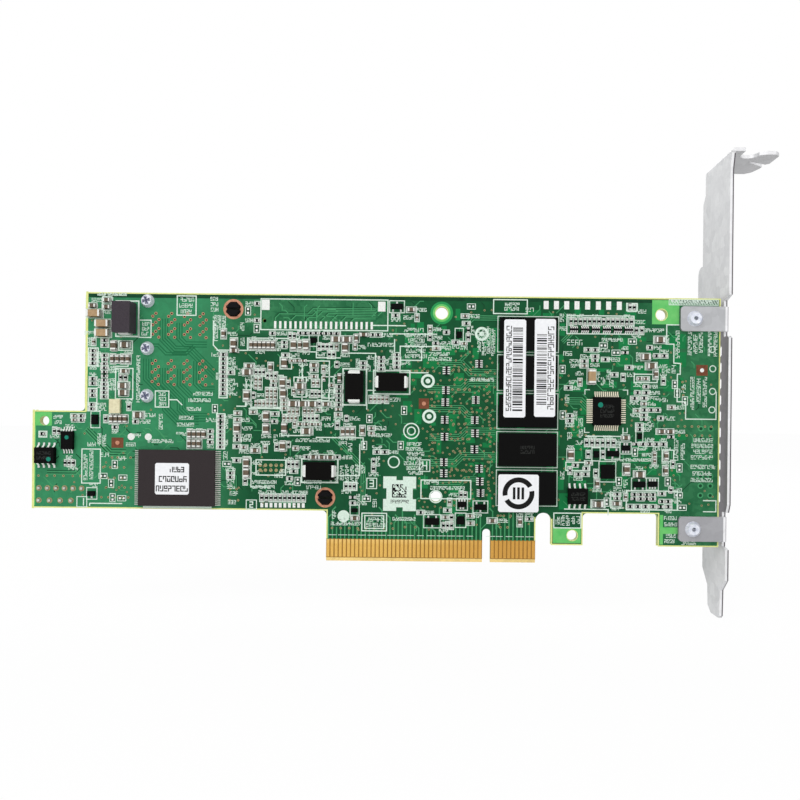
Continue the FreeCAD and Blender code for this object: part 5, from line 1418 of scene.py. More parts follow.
# rows of plated holes: x, z, step along, step up, count
VIA_ROWS = (
    (-109.3, 20.0, 2.1, 0, 6), (-91.4, 24.6, 1.5, 0, 4), (-93.2, 22.2, 1.6, 0, 4), (-94.0, 19.6, 1.7, 0, 4),
    (-92.6, 17.3, 1.5, 0, 5), (-93.6, 14.9, 1.6, 0, 5), (-62.6, 17.2, 1.6, 0, 2), (-64.8, 14.5, 2.2, 0, 3),
    (-18.8, 46.4, 1.4, 0, 5), (-18.2, 44.2, 1.6, 0, 4), (-19.4, 42.0, 1.5, 0, 5), (-8.4, 46.8, 1.4, 0, 4),
    (-8.2, 44.4, 1.4, 0, 5), (-8.6, 42.0, 1.4, 0, 4), (-8.0, 36.6, 1.4, 0, 4), (-8.4, 33.6, 1.4, 0, 4),
    (-8.6, 30.0, 1.4, 0, 4), (-8.2, 27.0, 1.4, 0, 4), (-8.4, 22.4, 1.4, 0, 4), (-8.0, 19.6, 1.4, 0, 4),
    (-13.6, 44.4, 0, -1.6, 5), (-13.2, 33.8, 0, -1.6, 5), (-0.2, 46.2, 0, -1.7, 6), (0.6, 35.8, 0, -1.6, 5),
    (0.4, 26.0, 0, -1.6, 6), (46.4, 33.6, 1.6, 0, 6), (46.8, 31.4, 1.8, 0, 5), (47.4, 44.4, 0, -1.6, 3),
    (-37.6, 8.0, 2.1, 0, 8), (-19.8, 8.4, 2.4, 0, 6), (2.6, 11.4, 1.7, 0, 4), (3.4, 8.6, 1.9, 0, 4),
    (20.6, 33.2, 1.6, 0, 5), (20.4, 31.2, 1.8, 0, 4), (18.9, 40.2, 0, -1.6, 4),
)

# printed text areas: left, right, low, high, mark size, running up the board
TEXT_AREAS = (
    (-75.6, -71.4, 59.6, 63.9, 0.9, False), (-68.2, -65.4, 60.2, 64.1, 0.85, False),
    (-84.7, -82.3, 54.2, 57.8, 0.8, False), (-67.2, -65.4, 52.4, 58.2, 0.85, True),
    (-80.7, -77.8, 37.2, 40.7, 0.8, False), (-86.0, -84.2, 37.4, 50.0, 0.8, True),
    (-80.3, -78.7, 30.2, 36.2, 0.85, True), (-105.8, -103.0, 32.4, 35.0, 0.8, False),
    (-98.4, -95.6, 18.6, 26.4, 0.85, True), (17.6, 24.2, 52.9, 54.6, 1.3, False),
    (17.6, 21.2, 49.9, 52.2, 1.0, False), (45.0, 47.2, 50.0, 57.6, 0.9, True),
    (48.4, 52.4, 50.2, 57.8, 0.9, True), (53.2, 56.0, 50.2, 57.8, 0.8, True),
    (49.0, 53.6, 37.4, 46.4, 0.9, True), (45.2, 48.4, 24.6, 31.0, 0.9, True),
    (49.0, 55.6, 25.4, 31.0, 0.9, False), (49.0, 55.6, 19.8, 24.6, 0.9, False),
    (42.7, 47.2, 9.0, 12.0, 0.85, False), (42.7, 46.8, 5.0, 7.6, 0.85, False),
    (47.4, 51.4, 4.6, 5.8, 0.8, False), (16.7, 22.9, 8.9, 12.0, 0.85, True),
    (-15.8, -4.2, 17.4, 18.6, 0.8, False), (-15.8, -11.4, 18.9, 19.7, 0.8, False),
    (-5.0, 2.2, 44.0, 45.0, 0.8, False), (-20.3, -15.0, 21.0, 29.2, 0.8, False),
    (-21.0, -14.6, 49.4, 57.0, 0.9, False), (-36.6, -30.6, 44.6, 46.4, 0.8, False),
    (-29.6, -22.8, 51.6, 53.8, 0.85, False), (-71.6, -66.6, 39.9, 40.8, 0.8, False),
    (-73.4, -66.8, 38.3, 39.2, 0.8, False), (-74.0, -69.0, 36.2, 37.0, 0.8, False),
    (-75.8, -70.6, 34.0, 34.9, 0.8, False), (-76.0, -71.4, 32.4, 33.2, 0.8, False),
    (-88.4, -85.0, 27.2, 28.4, 0.8, False), (-83.6, -75.0, 28.2, 29.2, 0.8, False),
    (3.4, 8.0, 61.2, 63.4, 0.8, False), (43.0, 55.0, 63.5, 64.5, 0.75, False),
    (-38.4, -31.0, 18.4, 24.0, 0.8, True), (-44.8, -39.6, 17.2, 23.6, 0.8, False),
    (-48.0, -36.6, 28.4, 30.2, 0.8, False), (-29.0, -22.8, 30.2, 31.2, 0.8, False),
    (-28.0, -22.4, 42.4, 44.6, 0.8, False), (-29.6, -24.6, 8.2, 10.8, 0.9, False),
    (-24.0, -16.8, 9.6, 11.2, 0.75, False), (-38.2, -29.8, 8.6, 9.6, 0.75, False),
    (26.4, 33.8, 54.0, 55.0, 0.75, False), (36.4, 42.6, 56.0, 57.8, 0.8, False),
    (30.0, 42.0, 24.9, 25.8, 0.7, False), (-14.8, -8.6, 48.8, 51.2, 0.85, False),
    (-2.8, 1.8, 50.0, 57.8, 0.8, True), (-96.0, -88.0, 64.0, 64.6, 0.6, False),
    (-58.0, -50.0, 17.2, 19.6, 0.8, False), (-67.2, -63.8, 55.8, 60.0, 0.8, True),
    (-95.0, -92.6, 26.8, 31.0, 0.8, True), (-103.6, -99.6, 31.6, 32.6, 0.8, False),
)

# plain printed frames: left, right, low, high
FRAMES = (
    (-55.4, -24.5, 56.1, 63.6), (-90.6, -86.4, 38.9, 46.3), (1.2, 9.4, 60.6, 64.0), (19.1, 35.4, 55.9, 60.3),
    (-56.2, -49.0, 20.7, 24.4), (-75.8, -71.2, 59.4, 64.1), (-85.0, -82.1, 53.9, 58.1),
    (-80.9, -77.6, 37.0, 40.9), (-98.6, -94.1, 18.3, 26.6), (-16.0, -3.9, 15.4, 19.9),
    (33.6, 36.2, 61.6, 63.4), (16.4, 23.0, 8.6, 12.2), (-109.1, -107.2, 29.4, 30.8), (25.4, 28.8, 13.6, 15.5),
    (-34.8, -31.6, 17.2, 19.2), (34.0, 46.4, 13.2, 17.8), (-97.2, -95.1, 35.9, 41.4),
    (-65.4, -63.4, 39.4, 50.6), (-65.9, -63.9, 27.0, 35.5), (-97.3, -94.9, 46.8, 51.2),
    (-30.3, -24.3, 7.4, 11.7), (-29.6, -25.0, 8.0, 11.1), (19.2, 25.0, 22.6, 24.6), (42.6, 45.4, 25.0, 27.8),
    (35.6, 41.2, 44.2, 46.2), (-50.6, -47.8, 46.6, 49.4), (-45.2, -38.6, 39.0, 48.6),
    (-57.6, -49.8, 37.2, 45.0), (-40.4, -37.4, 39.6, 44.8), (-47.2, -44.2, 39.8, 44.6),
    (-93.9, -91.8, 60.4, 63.7), (-89.9, -86.6, 50.7, 53.0),
)

# places tried for short runs, patches, plated holes and spare footprints
RUN_TRIES = 720
PATCH_TRIES = 260
VIA_TRIES = 3000
SPARE_TRIES = 4200
DIAGONAL = 0.707

# printed runs that join groups of parts
RUNS = (
   
    ((46.3, 58.3), (43.4, 58.3), (43.4, 53.6), (45.2, 53.6), (45.2, 49.0), (46.8, 48.9), (46.8, 46.3),
      (46.1, 46.3), (46.1, 39.6), (48.2, 39.6), (48.2, 35.4), (55.6, 35.4), (55.6, 42.0)),
    ((-66.9, 58.0), (-66.9, 52.2), (-65.0, 50.2)), ((-77.4, 38.8), (-75.6, 38.8), (-74.4, 37.6)),
    ((-58.6, 54.0), (-46.0, 54.0), (-46.0, 56.0)), ((-58.6, 54.0), (-58.6, 51.0), (-66.0, 51.0)),
    ((-46.4, 50.8), (-41.8, 50.8), (-41.8, 49.4), (-36.0, 49.4)),
    ((-58.0, 36.9), (-50.0, 36.9), (-50.0, 30.4)), ((-50.0, 30.4), (-43.2, 30.4), (-43.2, 35.0)),
    ((-24.0, 55.4), (-12.6, 55.4)), ((-28.6, 57.4), (-20.2, 57.4)),
    ((-34.6, 50.6), (-27.4, 50.6), (-27.4, 45.2)),
    ((-22.8, 54.0), (-22.8, 49.0), (-16.2, 49.0), (-16.2, 52.0)),
    ((-14.6, 46.0), (-21.4, 46.0), (-21.4, 52.4), (-11.0, 52.4)),
    ((-29.4, 37.0), (-29.4, 41.6), (-22.6, 41.6)),
    ((-62.2, 24.8), (-57.4, 24.8), (-57.4, 17.8), (-53.0, 17.8)), ((19.0, 13.2), (29.6, 13.2), (29.6, 11.9)),
    ((30.2, 17.6), (30.2, 13.6), (33.2, 13.6)), ((-31.0, 28.4), (-31.0, 20.8), (-37.8, 20.8)),
    ((-88.8, 13.4), (-96.6, 13.4), (-96.6, 12.9)), ((-61.0, 37.4), (-58.8, 37.4), (-58.8, 43.4)),
    ((-41.6, 30.0), (-30.2, 30.0), (-30.2, 27.4)), ((52.8, 12.9), (55.8, 12.9), (55.8, 15.6), (52.8, 15.6)),
    ((24.0, 31.0), (33.0, 31.0), (33.0, 33.0)), ((-100.2, 31.2), (-104.6, 31.2)),
    ((-87.6, 48.0), (-87.6, 46.8), (-91.2, 46.8)),
)


@dataclass
class BoardArt:
    """Everything printed or plated on the board's two faces.

    Args:
        dice: Seeded random numbers.
        keep: Taken places on the solder side.
        rim: Half of the bare strip along the edges.
        print_line: Width of the main printed lines.
        fine_line: Width of the finer ones.
        layers: The sheets made so far, by finish and face.
    """

    dice: random.Random
    keep: Keepout
    rim: float = 0.16
    print_line: float = 0.26
    fine_line: float = 0.2
    layers: dict[tuple[str, Side], Sheet] = field(default_factory=dict)

    # height of each layer over the board, in the order that they lie on each other
    LEVELS: ClassVar[dict[str, float]] = {
        "mask_patch": 0.002, "mask_dark": 0.005, "mask_trace": 0.008, "mask_gap": 0.011, "mask_ring": 0.014,
        "mask_bright": 0.017, "laminate": 0.020, "fiducial": 0.023, "gold_soft": 0.026, "copper": 0.029,
        "tin": 0.032, "hole": 0.035, "silk": 0.040}

    def layer(self, finish: str, side: Side = Side.SOLDER) -> Sheet:
        """Gives the sheet of one finish on one face.

        Args:
            finish: Key in FINISHES.
            side: Board face.

        Returns:
            The sheet, made on first use.
        """
        key = (finish, side)
        if key not in self.layers:
            y = FACES[side] + side.value * self.LEVELS[finish]
            name = f"{finish}_{'back' if side is Side.SOLDER else 'front'}"
            self.layers[key] = Sheet(name, finish, y, side)
        return self.layers[key]

    def edges(self) -> None:
        """Draws the bare laminate strip along the board's outline."""
        rim, base, tongue_low = self.rim, OUTLINE.main.low, 5.6
        left, right = OUTLINE.tongue.left + rim, OUTLINE.tongue.right - rim
        for side in Side:
            bare = self.layer("laminate", side)
            bare.line(OUTLINE.rim(rim), rim * 2)
            bare.line([(right, 11.0), (right, tongue_low)], rim * 2)
            bare.line([(left, tongue_low), (left, base + rim), (-110.4, base + rim)], rim * 2)
            self.layer("mask_dark", side).line([(-97.4, 64.0), (56.0, 64.0)], 0.9)
            for x, low, high in ((-110.4, 12.3, 35.8), (-97.7, 36.0, 64.7)):
                bare.line([(x, low), (x, high)], 0.52)

    def bright_areas(self) -> None:
        """Draws the places with no copper plane behind the solder mask."""
        sheet = self.layer("mask_bright")
        for area in ((-110.2, -109.9, 12.7, 32.2), (42.2, 43.0, 4.8, 12.0), (43.0, 47.6, 7.4, 9.0)):
            sheet.bar(*Area(*area).centred)
        for area, name in (((-110.3, -106.0, 32.2, 35.5), "left_tab"),
                           ((39.8, 46.4, 58.4, 64.3), "bracket_end"), ((16.2, 23.0, 4.9, 8.5), "small_tab")):
            sheet.pierced(Area(*area), HOLES[name])
        high, low = HOLES["middle_top"], HOLES["middle_low"]
        sheet.ring(high.x, high.z, 2.15, 1.6, 32)
        self.layer("mask_ring").ring(high.x, high.z, 2.75, 2.15, 32)
        self.layer("silk").ring(low.x, low.z, 1.62, 1.34, 28)
        for name, outer, inner in (("middle_top", 1.66, 1.5), ("bracket_end", 1.52, 1.36),
                                   ("small_tab", 1.42, 1.26)):
            self.layer("laminate").ring(HOLES[name].x, HOLES[name].z, outer, inner, 28)

    def copper_runs(self) -> None:
        """Draws the runs under the solder mask on the solder side."""
        light, dark, gap = self.layer("mask_trace"), self.layer("mask_dark"), self.layer("mask_gap")
        for path, count in PORT_RUNS:
            for step in range(count):
                gap.line(shifted(path, (step - (count - 1) / 2) * 0.62), 0.26)
        for bundle in BUNDLES:
            for step in range(bundle.count):
                run = shifted(bundle.path, step * bundle.pitch)
                light.line(run, bundle.width)
                dark.line(shifted(run, bundle.pitch / 2), bundle.width * 0.7)
        contacts, past_notch = 48, 38
        for step in range(contacts):
            x = -38.45 + 1.0 * step if step < past_notch else 1.5 + (step - past_notch)
            top = self.dice.choice((7.4, 8.2, 9.4, 10.6, 12.4))
            light.line([(x, 5.3), (x, top), (x + self.dice.choice((-0.7, 0.0, 0.7)), top + 0.7)], 0.3)
        for _ in range(RUN_TRIES):
            x, z = self.dice.uniform(-109, 55.5), self.dice.uniform(7, 63.4)
            if not on_board(x, z, 1.4) or -84 < x < -67 and z > 32:
                continue
            turn = self.dice.choice(((1, 0), (0, 1), (DIAGONAL, DIAGONAL), (DIAGONAL, -DIAGONAL)))
            reach = self.dice.uniform(0.8, 3.2)
            bend = self.dice.choice((-1, 1))
            elbow = (x + turn[0] * reach, z + turn[1] * reach)
            last = (elbow[0] + 0.6 * (turn[0] - bend * turn[1]), elbow[1] + 0.6 * (turn[1] + bend * turn[0]))
            if on_board(*elbow, 1.0) and on_board(*last, 1.0) and clear_of_holes((x, z), elbow, last):
                self.dice.choice((light, light, dark)).line([(x, z), elbow, last], 0.2)

    def plated_holes(self) -> None:
        """Draws the rings of the plated holes."""
        # the dark discs here are painted shade inside the port contact holes, the push-pin holes and the
        # plated holes
        ring, hole_shade = self.layer("copper"), self.layer("hole")
        for x, z in self.port_holes():
            ring.ring(x, z, 0.36, 0.2, 12)
            hole_shade.ring(x, z, 0.2, 0, 10)
            self.keep.take(x, z, 0.9, 0.9)
        vias = self.layer("gold_soft")
        for pin in islands("header_pins"):
            x, z = pin.centre
            vias.ring(x, z, 0.7, 0.42, 16)
            self.keep.take(x, z, 1.9, 1.9)
        for x, z, radius in (HOLES["push_pin_high"], HOLES["push_pin_low"]):
            ring.ring(x, z, 2.45, radius, 36)
            hole_shade.ring(x, z, radius, 0, 24)
            self.keep.take(x, z, 5.4, 5.4)
        for x, z, step_x, step_z, count in VIA_ROWS:
            for step in range(count):
                spot = (x + step_x * step + self.dice.uniform(-0.2, 0.2), z + step_z * step)
                if self.keep.free(*spot, 0.5, 0.5):
                    vias.ring(*spot, 0.3, 0.13, 10)
                    hole_shade.ring(*spot, 0.13, 0, 6)
        top, pitch = 33.1, 2.32
        for x in (52.0, 54.4):
            for step in range(8):
                self.layer("mask_trace").ring(x, top - pitch * step, 0.72, 0.4, 14)
                self.layer("mask_dark").ring(x, top - pitch * step, 0.4, 0, 12)
        for x, z in ((54.5, 52.4), (54.7, 47.7), (54.7, 42.2), (54.6, 37.7)):
            self.layer("silk").ring(x, z, 0.86, 0.62, 16)
            self.keep.take(x, z, 2, 2)

    @staticmethod
    def port_holes() -> list[Point]:
        """Gives the soldered contact holes of both cable ports.

        Returns:
            Places on the board.
        """
        columns = (-81.7, -77.85, -74.0, -70.2)
        rows = ((0.0, (59.1, 57.0, 54.7)), (0.75, (59.8, 57.6, 55.4)), (1.5, (58.3, 56.1, 54.0)))
        return [(column + shift, z - drop) for column in columns for shift, heights in rows
                for z in heights for drop in (0.0, 11.5)]

    def scattered_vias(self) -> None:
        """Scatters small plated holes where there is room."""
        # the dark discs here are painted shade inside the small plated holes
        ring, hole_shade = self.layer("gold_soft"), self.layer("hole")
        patch, patches = self.layer("mask_patch"), Keepout()
        for _ in range(PATCH_TRIES):
            x, z = self.dice.uniform(-22, 48), self.dice.uniform(13, 62)
            wide, tall = self.dice.uniform(0.8, 4.0), self.dice.uniform(0.8, 4.0)
            near = (x, z), (x + wide / 2, z), (x - wide / 2, z), (x, z + tall / 2), (x, z - tall / 2)
            if clear_of_holes(*near) and patches.free(x, z, wide, tall):
                patch.bar(x, z, wide, tall)
                patches.take(x, z, wide, tall)
        for _ in range(VIA_TRIES):
            x, z = self.dice.uniform(-109, 55.5), self.dice.uniform(7, 63.2)
            if self.dice.random() < 0.6:
                x, z = self.dice.uniform(-17, 2), self.dice.uniform(13, 54)
            sparse = x < -68 and self.dice.random() < 0.6 or (-55 < x < -24 and z > 56)
            if sparse or not on_board(x, z, 0.9) or not self.keep.free(x, z, 0.7, 0.7):
                continue
            ring.ring(x, z, 0.25, 0.12, 8)
            hole_shade.ring(x, z, 0.12, 0, 6)
            self.keep.take(x, z, 1.1, 1.1)

    def pads(self) -> None:
        """Draws pads that no part stands on."""
        tin, gold = self.layer("tin"), self.layer("gold_soft")
        for step in range(20):
            tin.bar(-51.9 + step * 23.5 / 19, 57.3, 0.55, 1.8)
        tin.bar(-54.25, 62.15, 1.9, 2.5)
        tin.bar(-26.0, 62.0, 1.8, 2.4)
        for x in (14.0, 16.5, 19.0, 21.5, 24.1, 26.7, 29.2, 31.8):
            tin.bar(x, 62.8, 1.2, 2.0)
            self.keep.take(x, 62.8, 1.6, 2.4)
        for row in (23.1, 21.9):
            for step in range(5):
                gold.ring(-55.2 + 1.3 * step, row, 0.42, 0, 12)
        for step in range(10):
            tin.bar(-54.7 + 1.12 * step, 13.4, 0.7, 1.1)
        for x, z in ((-86.7, 29.7), (-82.5, 29.7)):
            tin.ring(x, z, 0.85, 0, 18)
        for x, z, wide, tall in ((-15.5, 38.5, 2.5, 2.5), (52.1, 47.3, 2.8, 2.6), (-90.0, 28.2, 2.9, 2.5)):
            self.layer("fiducial").bar(x, z, wide, tall)
            self.layer("copper").ring(x, z, 0.5, 0, 14)
            self.keep.take(x, z, wide + 0.4, tall + 0.4)
        self.layer("tin").ring(52.1, 47.3, 0.5, 0, 14)
        self.layer("silk").bar(-75.25, 12.62, 16.7, 0.55)

    def silkscreen(self) -> None:
        """Draws the printed outlines, numbers and meaningless lettering of the solder side."""
        silk = self.layer("silk")
        scribe = Scribe(silk, self.dice)
        for area in FRAMES:
            silk.frame(area, self.print_line)
        for run in RUNS:
            silk.line(run, self.print_line)
        for step in range(21):
            if step != 15:
                left = -38.4 + step * 2.4
                silk.line([(left, 6.35), (left + self.dice.choice((1.5, 1.9, 2.1)), 6.35)], 0.13)
        for z in (18.2, 27.55, 36.9, 46.25, 55.6):
            silk.frame((2.3, 17.1, z - 4.35, z + 4.35), self.fine_line)
        for node, gap in (("polymer_capacitor_1", 0.7), ("polymer_capacitor_2", 0.7),
                          ("polymer_capacitor_3", 0.7), ("tall_capacitor", 0.6)):
            part = node_island(node)
            silk.frame(part.grown(gap, gap), 0.36)
        logic = node_island("logic_chip")
        for sx in (1, -1):
            for sz in (1, -1):
                x, z = logic.centre[0] + sx * 5.2, logic.centre[1] + sz * 5.2
                silk.line([(x - sx * 1.1, z), (x, z), (x, z - sz * 1.1)], self.fine_line)
        for chip in islands("small_chips"):
            silk.frame(chip.grown(0.35, 0.8), 0.22)
        for digit, *edges in (("4", -16.4, -13.9, 22.0, 24.8), ("3", -29.2, -26.8, 17.7, 20.2),
                              ("2", -58.5, -56.0, 12.4, 14.6), ("1", -99.7, -97.3, 12.5, 15.0)):
            x, z, wide, tall = Area(*edges).centred
            silk.frame(edges, self.fine_line)
            self.keep.take(x, z, wide, tall)
            scribe.glyph(x, z, tall - 0.9, DIGITS[digit], False, self.print_line)
        for *edges, size, turned in TEXT_AREAS:
            scribe.block(edges, size, turned)
            self.keep.take(*Area(*edges).centred)
        self.marks(silk)
        silk.frame((43.9, 55.9, 63.15, 64.45), 0.16)
        for step in range(30):
            x = 44.2 + step * 0.39
            silk.line([(x, 63.3), (x + 0.35, 64.3)], 0.16)

    def marks(self, silk: Sheet) -> None:
        """Draws plain shapes where the board has round printed marks.

        Args:
            silk: The silkscreen.
        """
        silk.ring(-34.8, 10.9, 1.45, 0, 24)
        # dark centre: painted shade inside the mark's small hole
        self.layer("hole").ring(-34.8, 10.9, 0.5, 0, 14)
        silk.ring(-22.7, 24.2, 1.5, 1.18, 24)
        silk.ring(-18.5, 31.8, 2.0, 1.7, 28)
        silk.ring(-18.5, 31.8, 1.1, 0.8, 20)
        for x, z in ((-14.6, 44.0), (-14.2, 35.4), (-1.6, 55.6)):
            silk.ring(x, z, 1.7, 1.1, 24)
            silk.ring(x, z, 0.6, 0, 14)

    def code_patch(self) -> None:
        """Draws the white block with its square field of meaningless cells."""
        silk = self.layer("silk")
        for area in ((-25.2, -22.0, 12.3, 15.2), (-20.4, -17.2, 12.3, 15.2), (-25.2, -22.0, 17.8, 20.7),
                     (-20.4, -17.2, 17.8, 20.7), (-24.4, -18.0, 15.2, 17.8), (-22.0, -20.4, 13.2, 19.8)):
            silk.bar(*Area(*area).centred)
        ink = Sheet("code_print", "print", BOARD.low.y - 0.05)
        cell, filled = 0.27, 0.48
        for column in range(13):
            for row in range(12):
                if column == 0 or row == 0 or self.dice.random() < filled:
                    ink.bar(-22.9 + column * cell, 15.7 + row * cell, cell, cell)
        Scribe(ink, self.dice).word(-21.2, 14.6, 0.7, 8, width=0.12)
        ink.build()

    def designators(self, nodes: Iterable[str]) -> None:
        """Writes a short mark beside each chip part where there is room.

        Args:
            nodes: The chip parts' nodes.
        """
        scribe = {side: Scribe(self.layer("silk", side), self.dice) for side in Side}
        for node in nodes:
            for chip in chips_of(node):
                wide, tall = chip.size
                x, z = chip.centre
                count = self.dice.choice((3, 4, 4))
                size = self.dice.choice((0.7, 0.75, 0.8))
                length = count * size * Scribe.PITCH
                up, along, far = tall / 2 + 0.85, wide / 2 + 0.85, wide / 2 + 0.5 + length / 2
                spots = ((x, z + up, False), (x, z - up, False), (x + along, z, True), (x - along, z, True),
                         (x + far, z, False), (x - far, z, False))
                for px, pz, turned in spots:
                    box = (size + 0.05, length) if turned else (length, size + 0.05)
                    side = chip.side
                    if on_board(px, pz, 0.5) and (side is Side.COMPONENT or self.keep.free(px, pz, *box)):
                        scribe[side].word(px, pz, size, count, turned)
                        if side is Side.SOLDER:
                            self.keep.take(px, pz, *box)
                        break

    def spare_footprints(self) -> None:
        """Draws small footprints that hold no part, where there is room."""
        silk, pad, bare = self.layer("silk"), self.layer("tin"), self.layer("mask_dark")
        scribe = Scribe(silk, self.dice)
        for step in range(SPARE_TRIES):
            left = -97 if step < SPARE_TRIES * 0.6 else 17
            x, z = self.dice.uniform(left, 48), self.dice.uniform(8, 63)
            upright = self.dice.random() < 0.5
            wide, tall = (1.3, 2.0) if upright else (2.0, 1.3)
            bare_field = -85 < x < -67 and z > 30 or -14.5 < x < 2 and 18 < z < 50
            if bare_field or not on_board(x, z, 1.6) or not self.keep.free(x, z, wide, tall):
                continue
            self.keep.take(x, z, wide + 0.2, tall + 0.2)
            if self.dice.random() < (0.45 if left < 0 else 0.65):
                scribe.word(x, z, 0.85, 3, upright)
                continue
            bare.bar(x, z, wide - 0.3, tall - 0.3)
            silk.frame(Area.around(x, z, wide, tall), 0.15)
            for sign in (1, -1):
                spot = (x, z + 0.45 * sign) if upright else (x + 0.45 * sign, z)
                pad.bar(*spot, 0.5, 0.5)

    def front(self) -> None:
        """Draws the component side's printed outlines."""
        silk = self.layer("silk", Side.COMPONENT)
        for node, gap in (("controller_substrate", 1.0), ("port_housing", 0.5), ("memory_front", 0.6),
                          ("module_connector", 0.7), ("signal_header", 0.5), ("battery_header", 0.5),
                          ("heatsink", 0.7)):
            left, right, low, high = node_island(node).grown(gap, gap)
            silk.frame((max(left, -110), right, max(low, 12.6), min(high, 64.3)), 0.22)
        scribe = Scribe(silk, self.dice)
        for area in ((-90.0, -72.0, 24.0, 27.0), (38.0, 52.0, 20.0, 30.0), (34.0, 50.0, 54.0, 60.0),
                     (-33.0, -24.0, 10.0, 12.0), (-107.0, -99.0, 22.0, 30.0)):
            scribe.block(area, 1.1)
        light = self.layer("mask_trace", Side.COMPONENT)
        for _ in range(260):
            x, z = self.dice.uniform(-109, 55.0), self.dice.uniform(7.5, 63.0)
            turn = self.dice.choice(((1, 0), (0, 1), (DIAGONAL, DIAGONAL)))
            end = (x + turn[0] * 5, z + turn[1] * 5)
            if on_board(x, z, 1.2) and on_board(*end, 1.2):
                light.line([(x, z), end], 0.22)

    def build(self) -> None:
        """Makes one piece for each layer."""
        for sheet in self.layers.values():
            sheet.build()


# ------------------------------------------------------------------ labels and chip tops

@dataclass
class Labels:
    """Print on the paper labels and marks on the chips.

    Args:
        dice: Seeded random numbers.
    """

    dice: random.Random

    def on_top(self, node: str, name: str, finish: str) -> tuple[Sheet, Island]:
        """Starts a sheet just above a node's outer face.

        Args:
            node: The node under the print.
            name: Piece name.
            finish: Key in FINISHES.

        Returns:
            The sheet and the node's box.
        """
        part = node_island(node)
        return Sheet(name, finish, part.low.y - 0.012), part

    def barcode(self, node: str, bars: tuple[float, float, float, float], text_x: float, size: float) -> None:
        """Prints one label with a bar pattern and a row of marks.

        Args:
            node: The label's node.
            bars: Left, right, low and high edge of the pattern.
            text_x: Place of the row of marks.
            size: Mark height.
        """
        sheet, part = self.on_top(node, f"{node}_print", "print")
        left, right, low, high = bars
        z = low
        while z < high:
            thick = self.dice.choice((0.14, 0.14, 0.26, 0.4))
            sheet.bar((left + right) / 2, z + thick / 2, right - left, thick)
            z += thick + self.dice.choice((0.15, 0.2, 0.32, 0.42))
        middle = (part.low.z + part.high.z) / 2
        count = int((part.high.z - part.low.z - 2.6) / (size * Scribe.PITCH))
        Scribe(sheet, self.dice).word(text_x, middle, size, count, True, 0.2)
        sheet.build()

    def ring_print(self) -> None:
        """Prints a plain broken ring with three bars on the square label."""
        sheet, _ = self.on_top("ring_label", "ring_print", "print")
        x, z = 7.6, 17.0
        outer, inner, steps = 3.85, 2.65, 72
        for step in range(steps):
            angle = step / steps * 360
            if 8 < angle < 26 or 188 < angle < 206:
                continue
            turns = [math.radians(angle), math.radians(angle + 360 / steps)]
            (a, b), (c, d) = [(math.cos(turn), math.sin(turn)) for turn in turns]
            sheet.polygon([(x + inner * a, z + inner * b), (x + outer * a, z + outer * b),
                           (x + outer * c, z + outer * d), (x + inner * c, z + inner * d)])
        for offset in (-1.05, 0.0, 1.05):
            sheet.bar(x + offset, z, 0.62, 2.9)
        sheet.build()

    def flash_print(self) -> None:
        """Prints three rows of marks on the flash memory's label."""
        sheet, _ = self.on_top("flash_label", "flash_print", "print")
        scribe = Scribe(sheet, self.dice)
        for z, count, x, size in ((21.9, 4, -75.0, 1.1), (19.6, 7, -76.0, 1.2), (17.3, 8, -76.2, 1.2)):
            scribe.word(x, z, size, count, False, 0.24)
        sheet.build()

    def chip_marks(self) -> None:
        """Draws faint rows of marks and the pin-one dots on the chips."""
        size = 0.7
        for node, rows in (("eight_lead_chip_left", 2), ("eight_lead_chip_right", 2), ("logic_chip", 3),
                           ("memory_back_1", 2), ("memory_back_2", 2)):
            sheet, part = self.on_top(node, f"{node}_marks", "mark")
            x, z = part.centre
            for row in range(rows):
                height = z + (row - (rows - 1) / 2) * size * 1.6
                Scribe(sheet, self.dice).word(x, height, size, 6, width=0.09)
            sheet.build()
        for node, x, z, radius in (("logic_chip", 27.2, 38.6, 0.62),
                                   ("eight_lead_chip_left", -106.0, 24.1, 0.55),
                                   ("slim_chip", -101.9, 29.4, 0.5)):
            sheet, _ = self.on_top(node, f"{node}_dot", "teal")
            sheet.y -= 0.01
            sheet.ring(x, z, radius, 0, 18)
            sheet.build()

    def screw_crosses(self) -> None:
        """Paints shade into the cross recesses of the port screws."""
        sheet, _ = self.on_top("port_screws", "screw_crosses", "shade")
        for head in islands("port_screws"):
            x, z = head.centre
            for turn in (0.5, 0.5 + math.pi / 2):
                a, b = math.cos(turn) * 0.85, math.sin(turn) * 0.85
                sheet.line([(x - a, z - b), (x + a, z + b)], 0.34)
        sheet.build()

    def build(self) -> None:
        """Makes every print."""
        self.screw_crosses()
        self.barcode("barcode_label_left", (5.9, 8.3, 36.9, 57.0), 4.95, 1.1)
        self.barcode("barcode_label_right", (11.7, 14.1, 38.5, 55.8), 15.1, 1.3)
        self.ring_print()
        self.flash_print()
        self.chip_marks()


# ------------------------------------------------------------------ stage

@dataclass(frozen=True)
class Lamp:
    """One soft area lamp.

    Args:
        name: Object name.
        place: Centre in metres.
        size: Side in metres.
        power: Watts.
    """

    name: str
    place: tuple[float, float, float]
    size: float
    power: float


LAMPS = (Lamp("key", (-0.3, -0.45, 0.5), 0.3, 1.75), Lamp("fill", (0.4, -0.6, 0.2), 0.5, 0.35),
         Lamp("rear", (0.1, 0.6, 0.5), 0.5, 1.2))


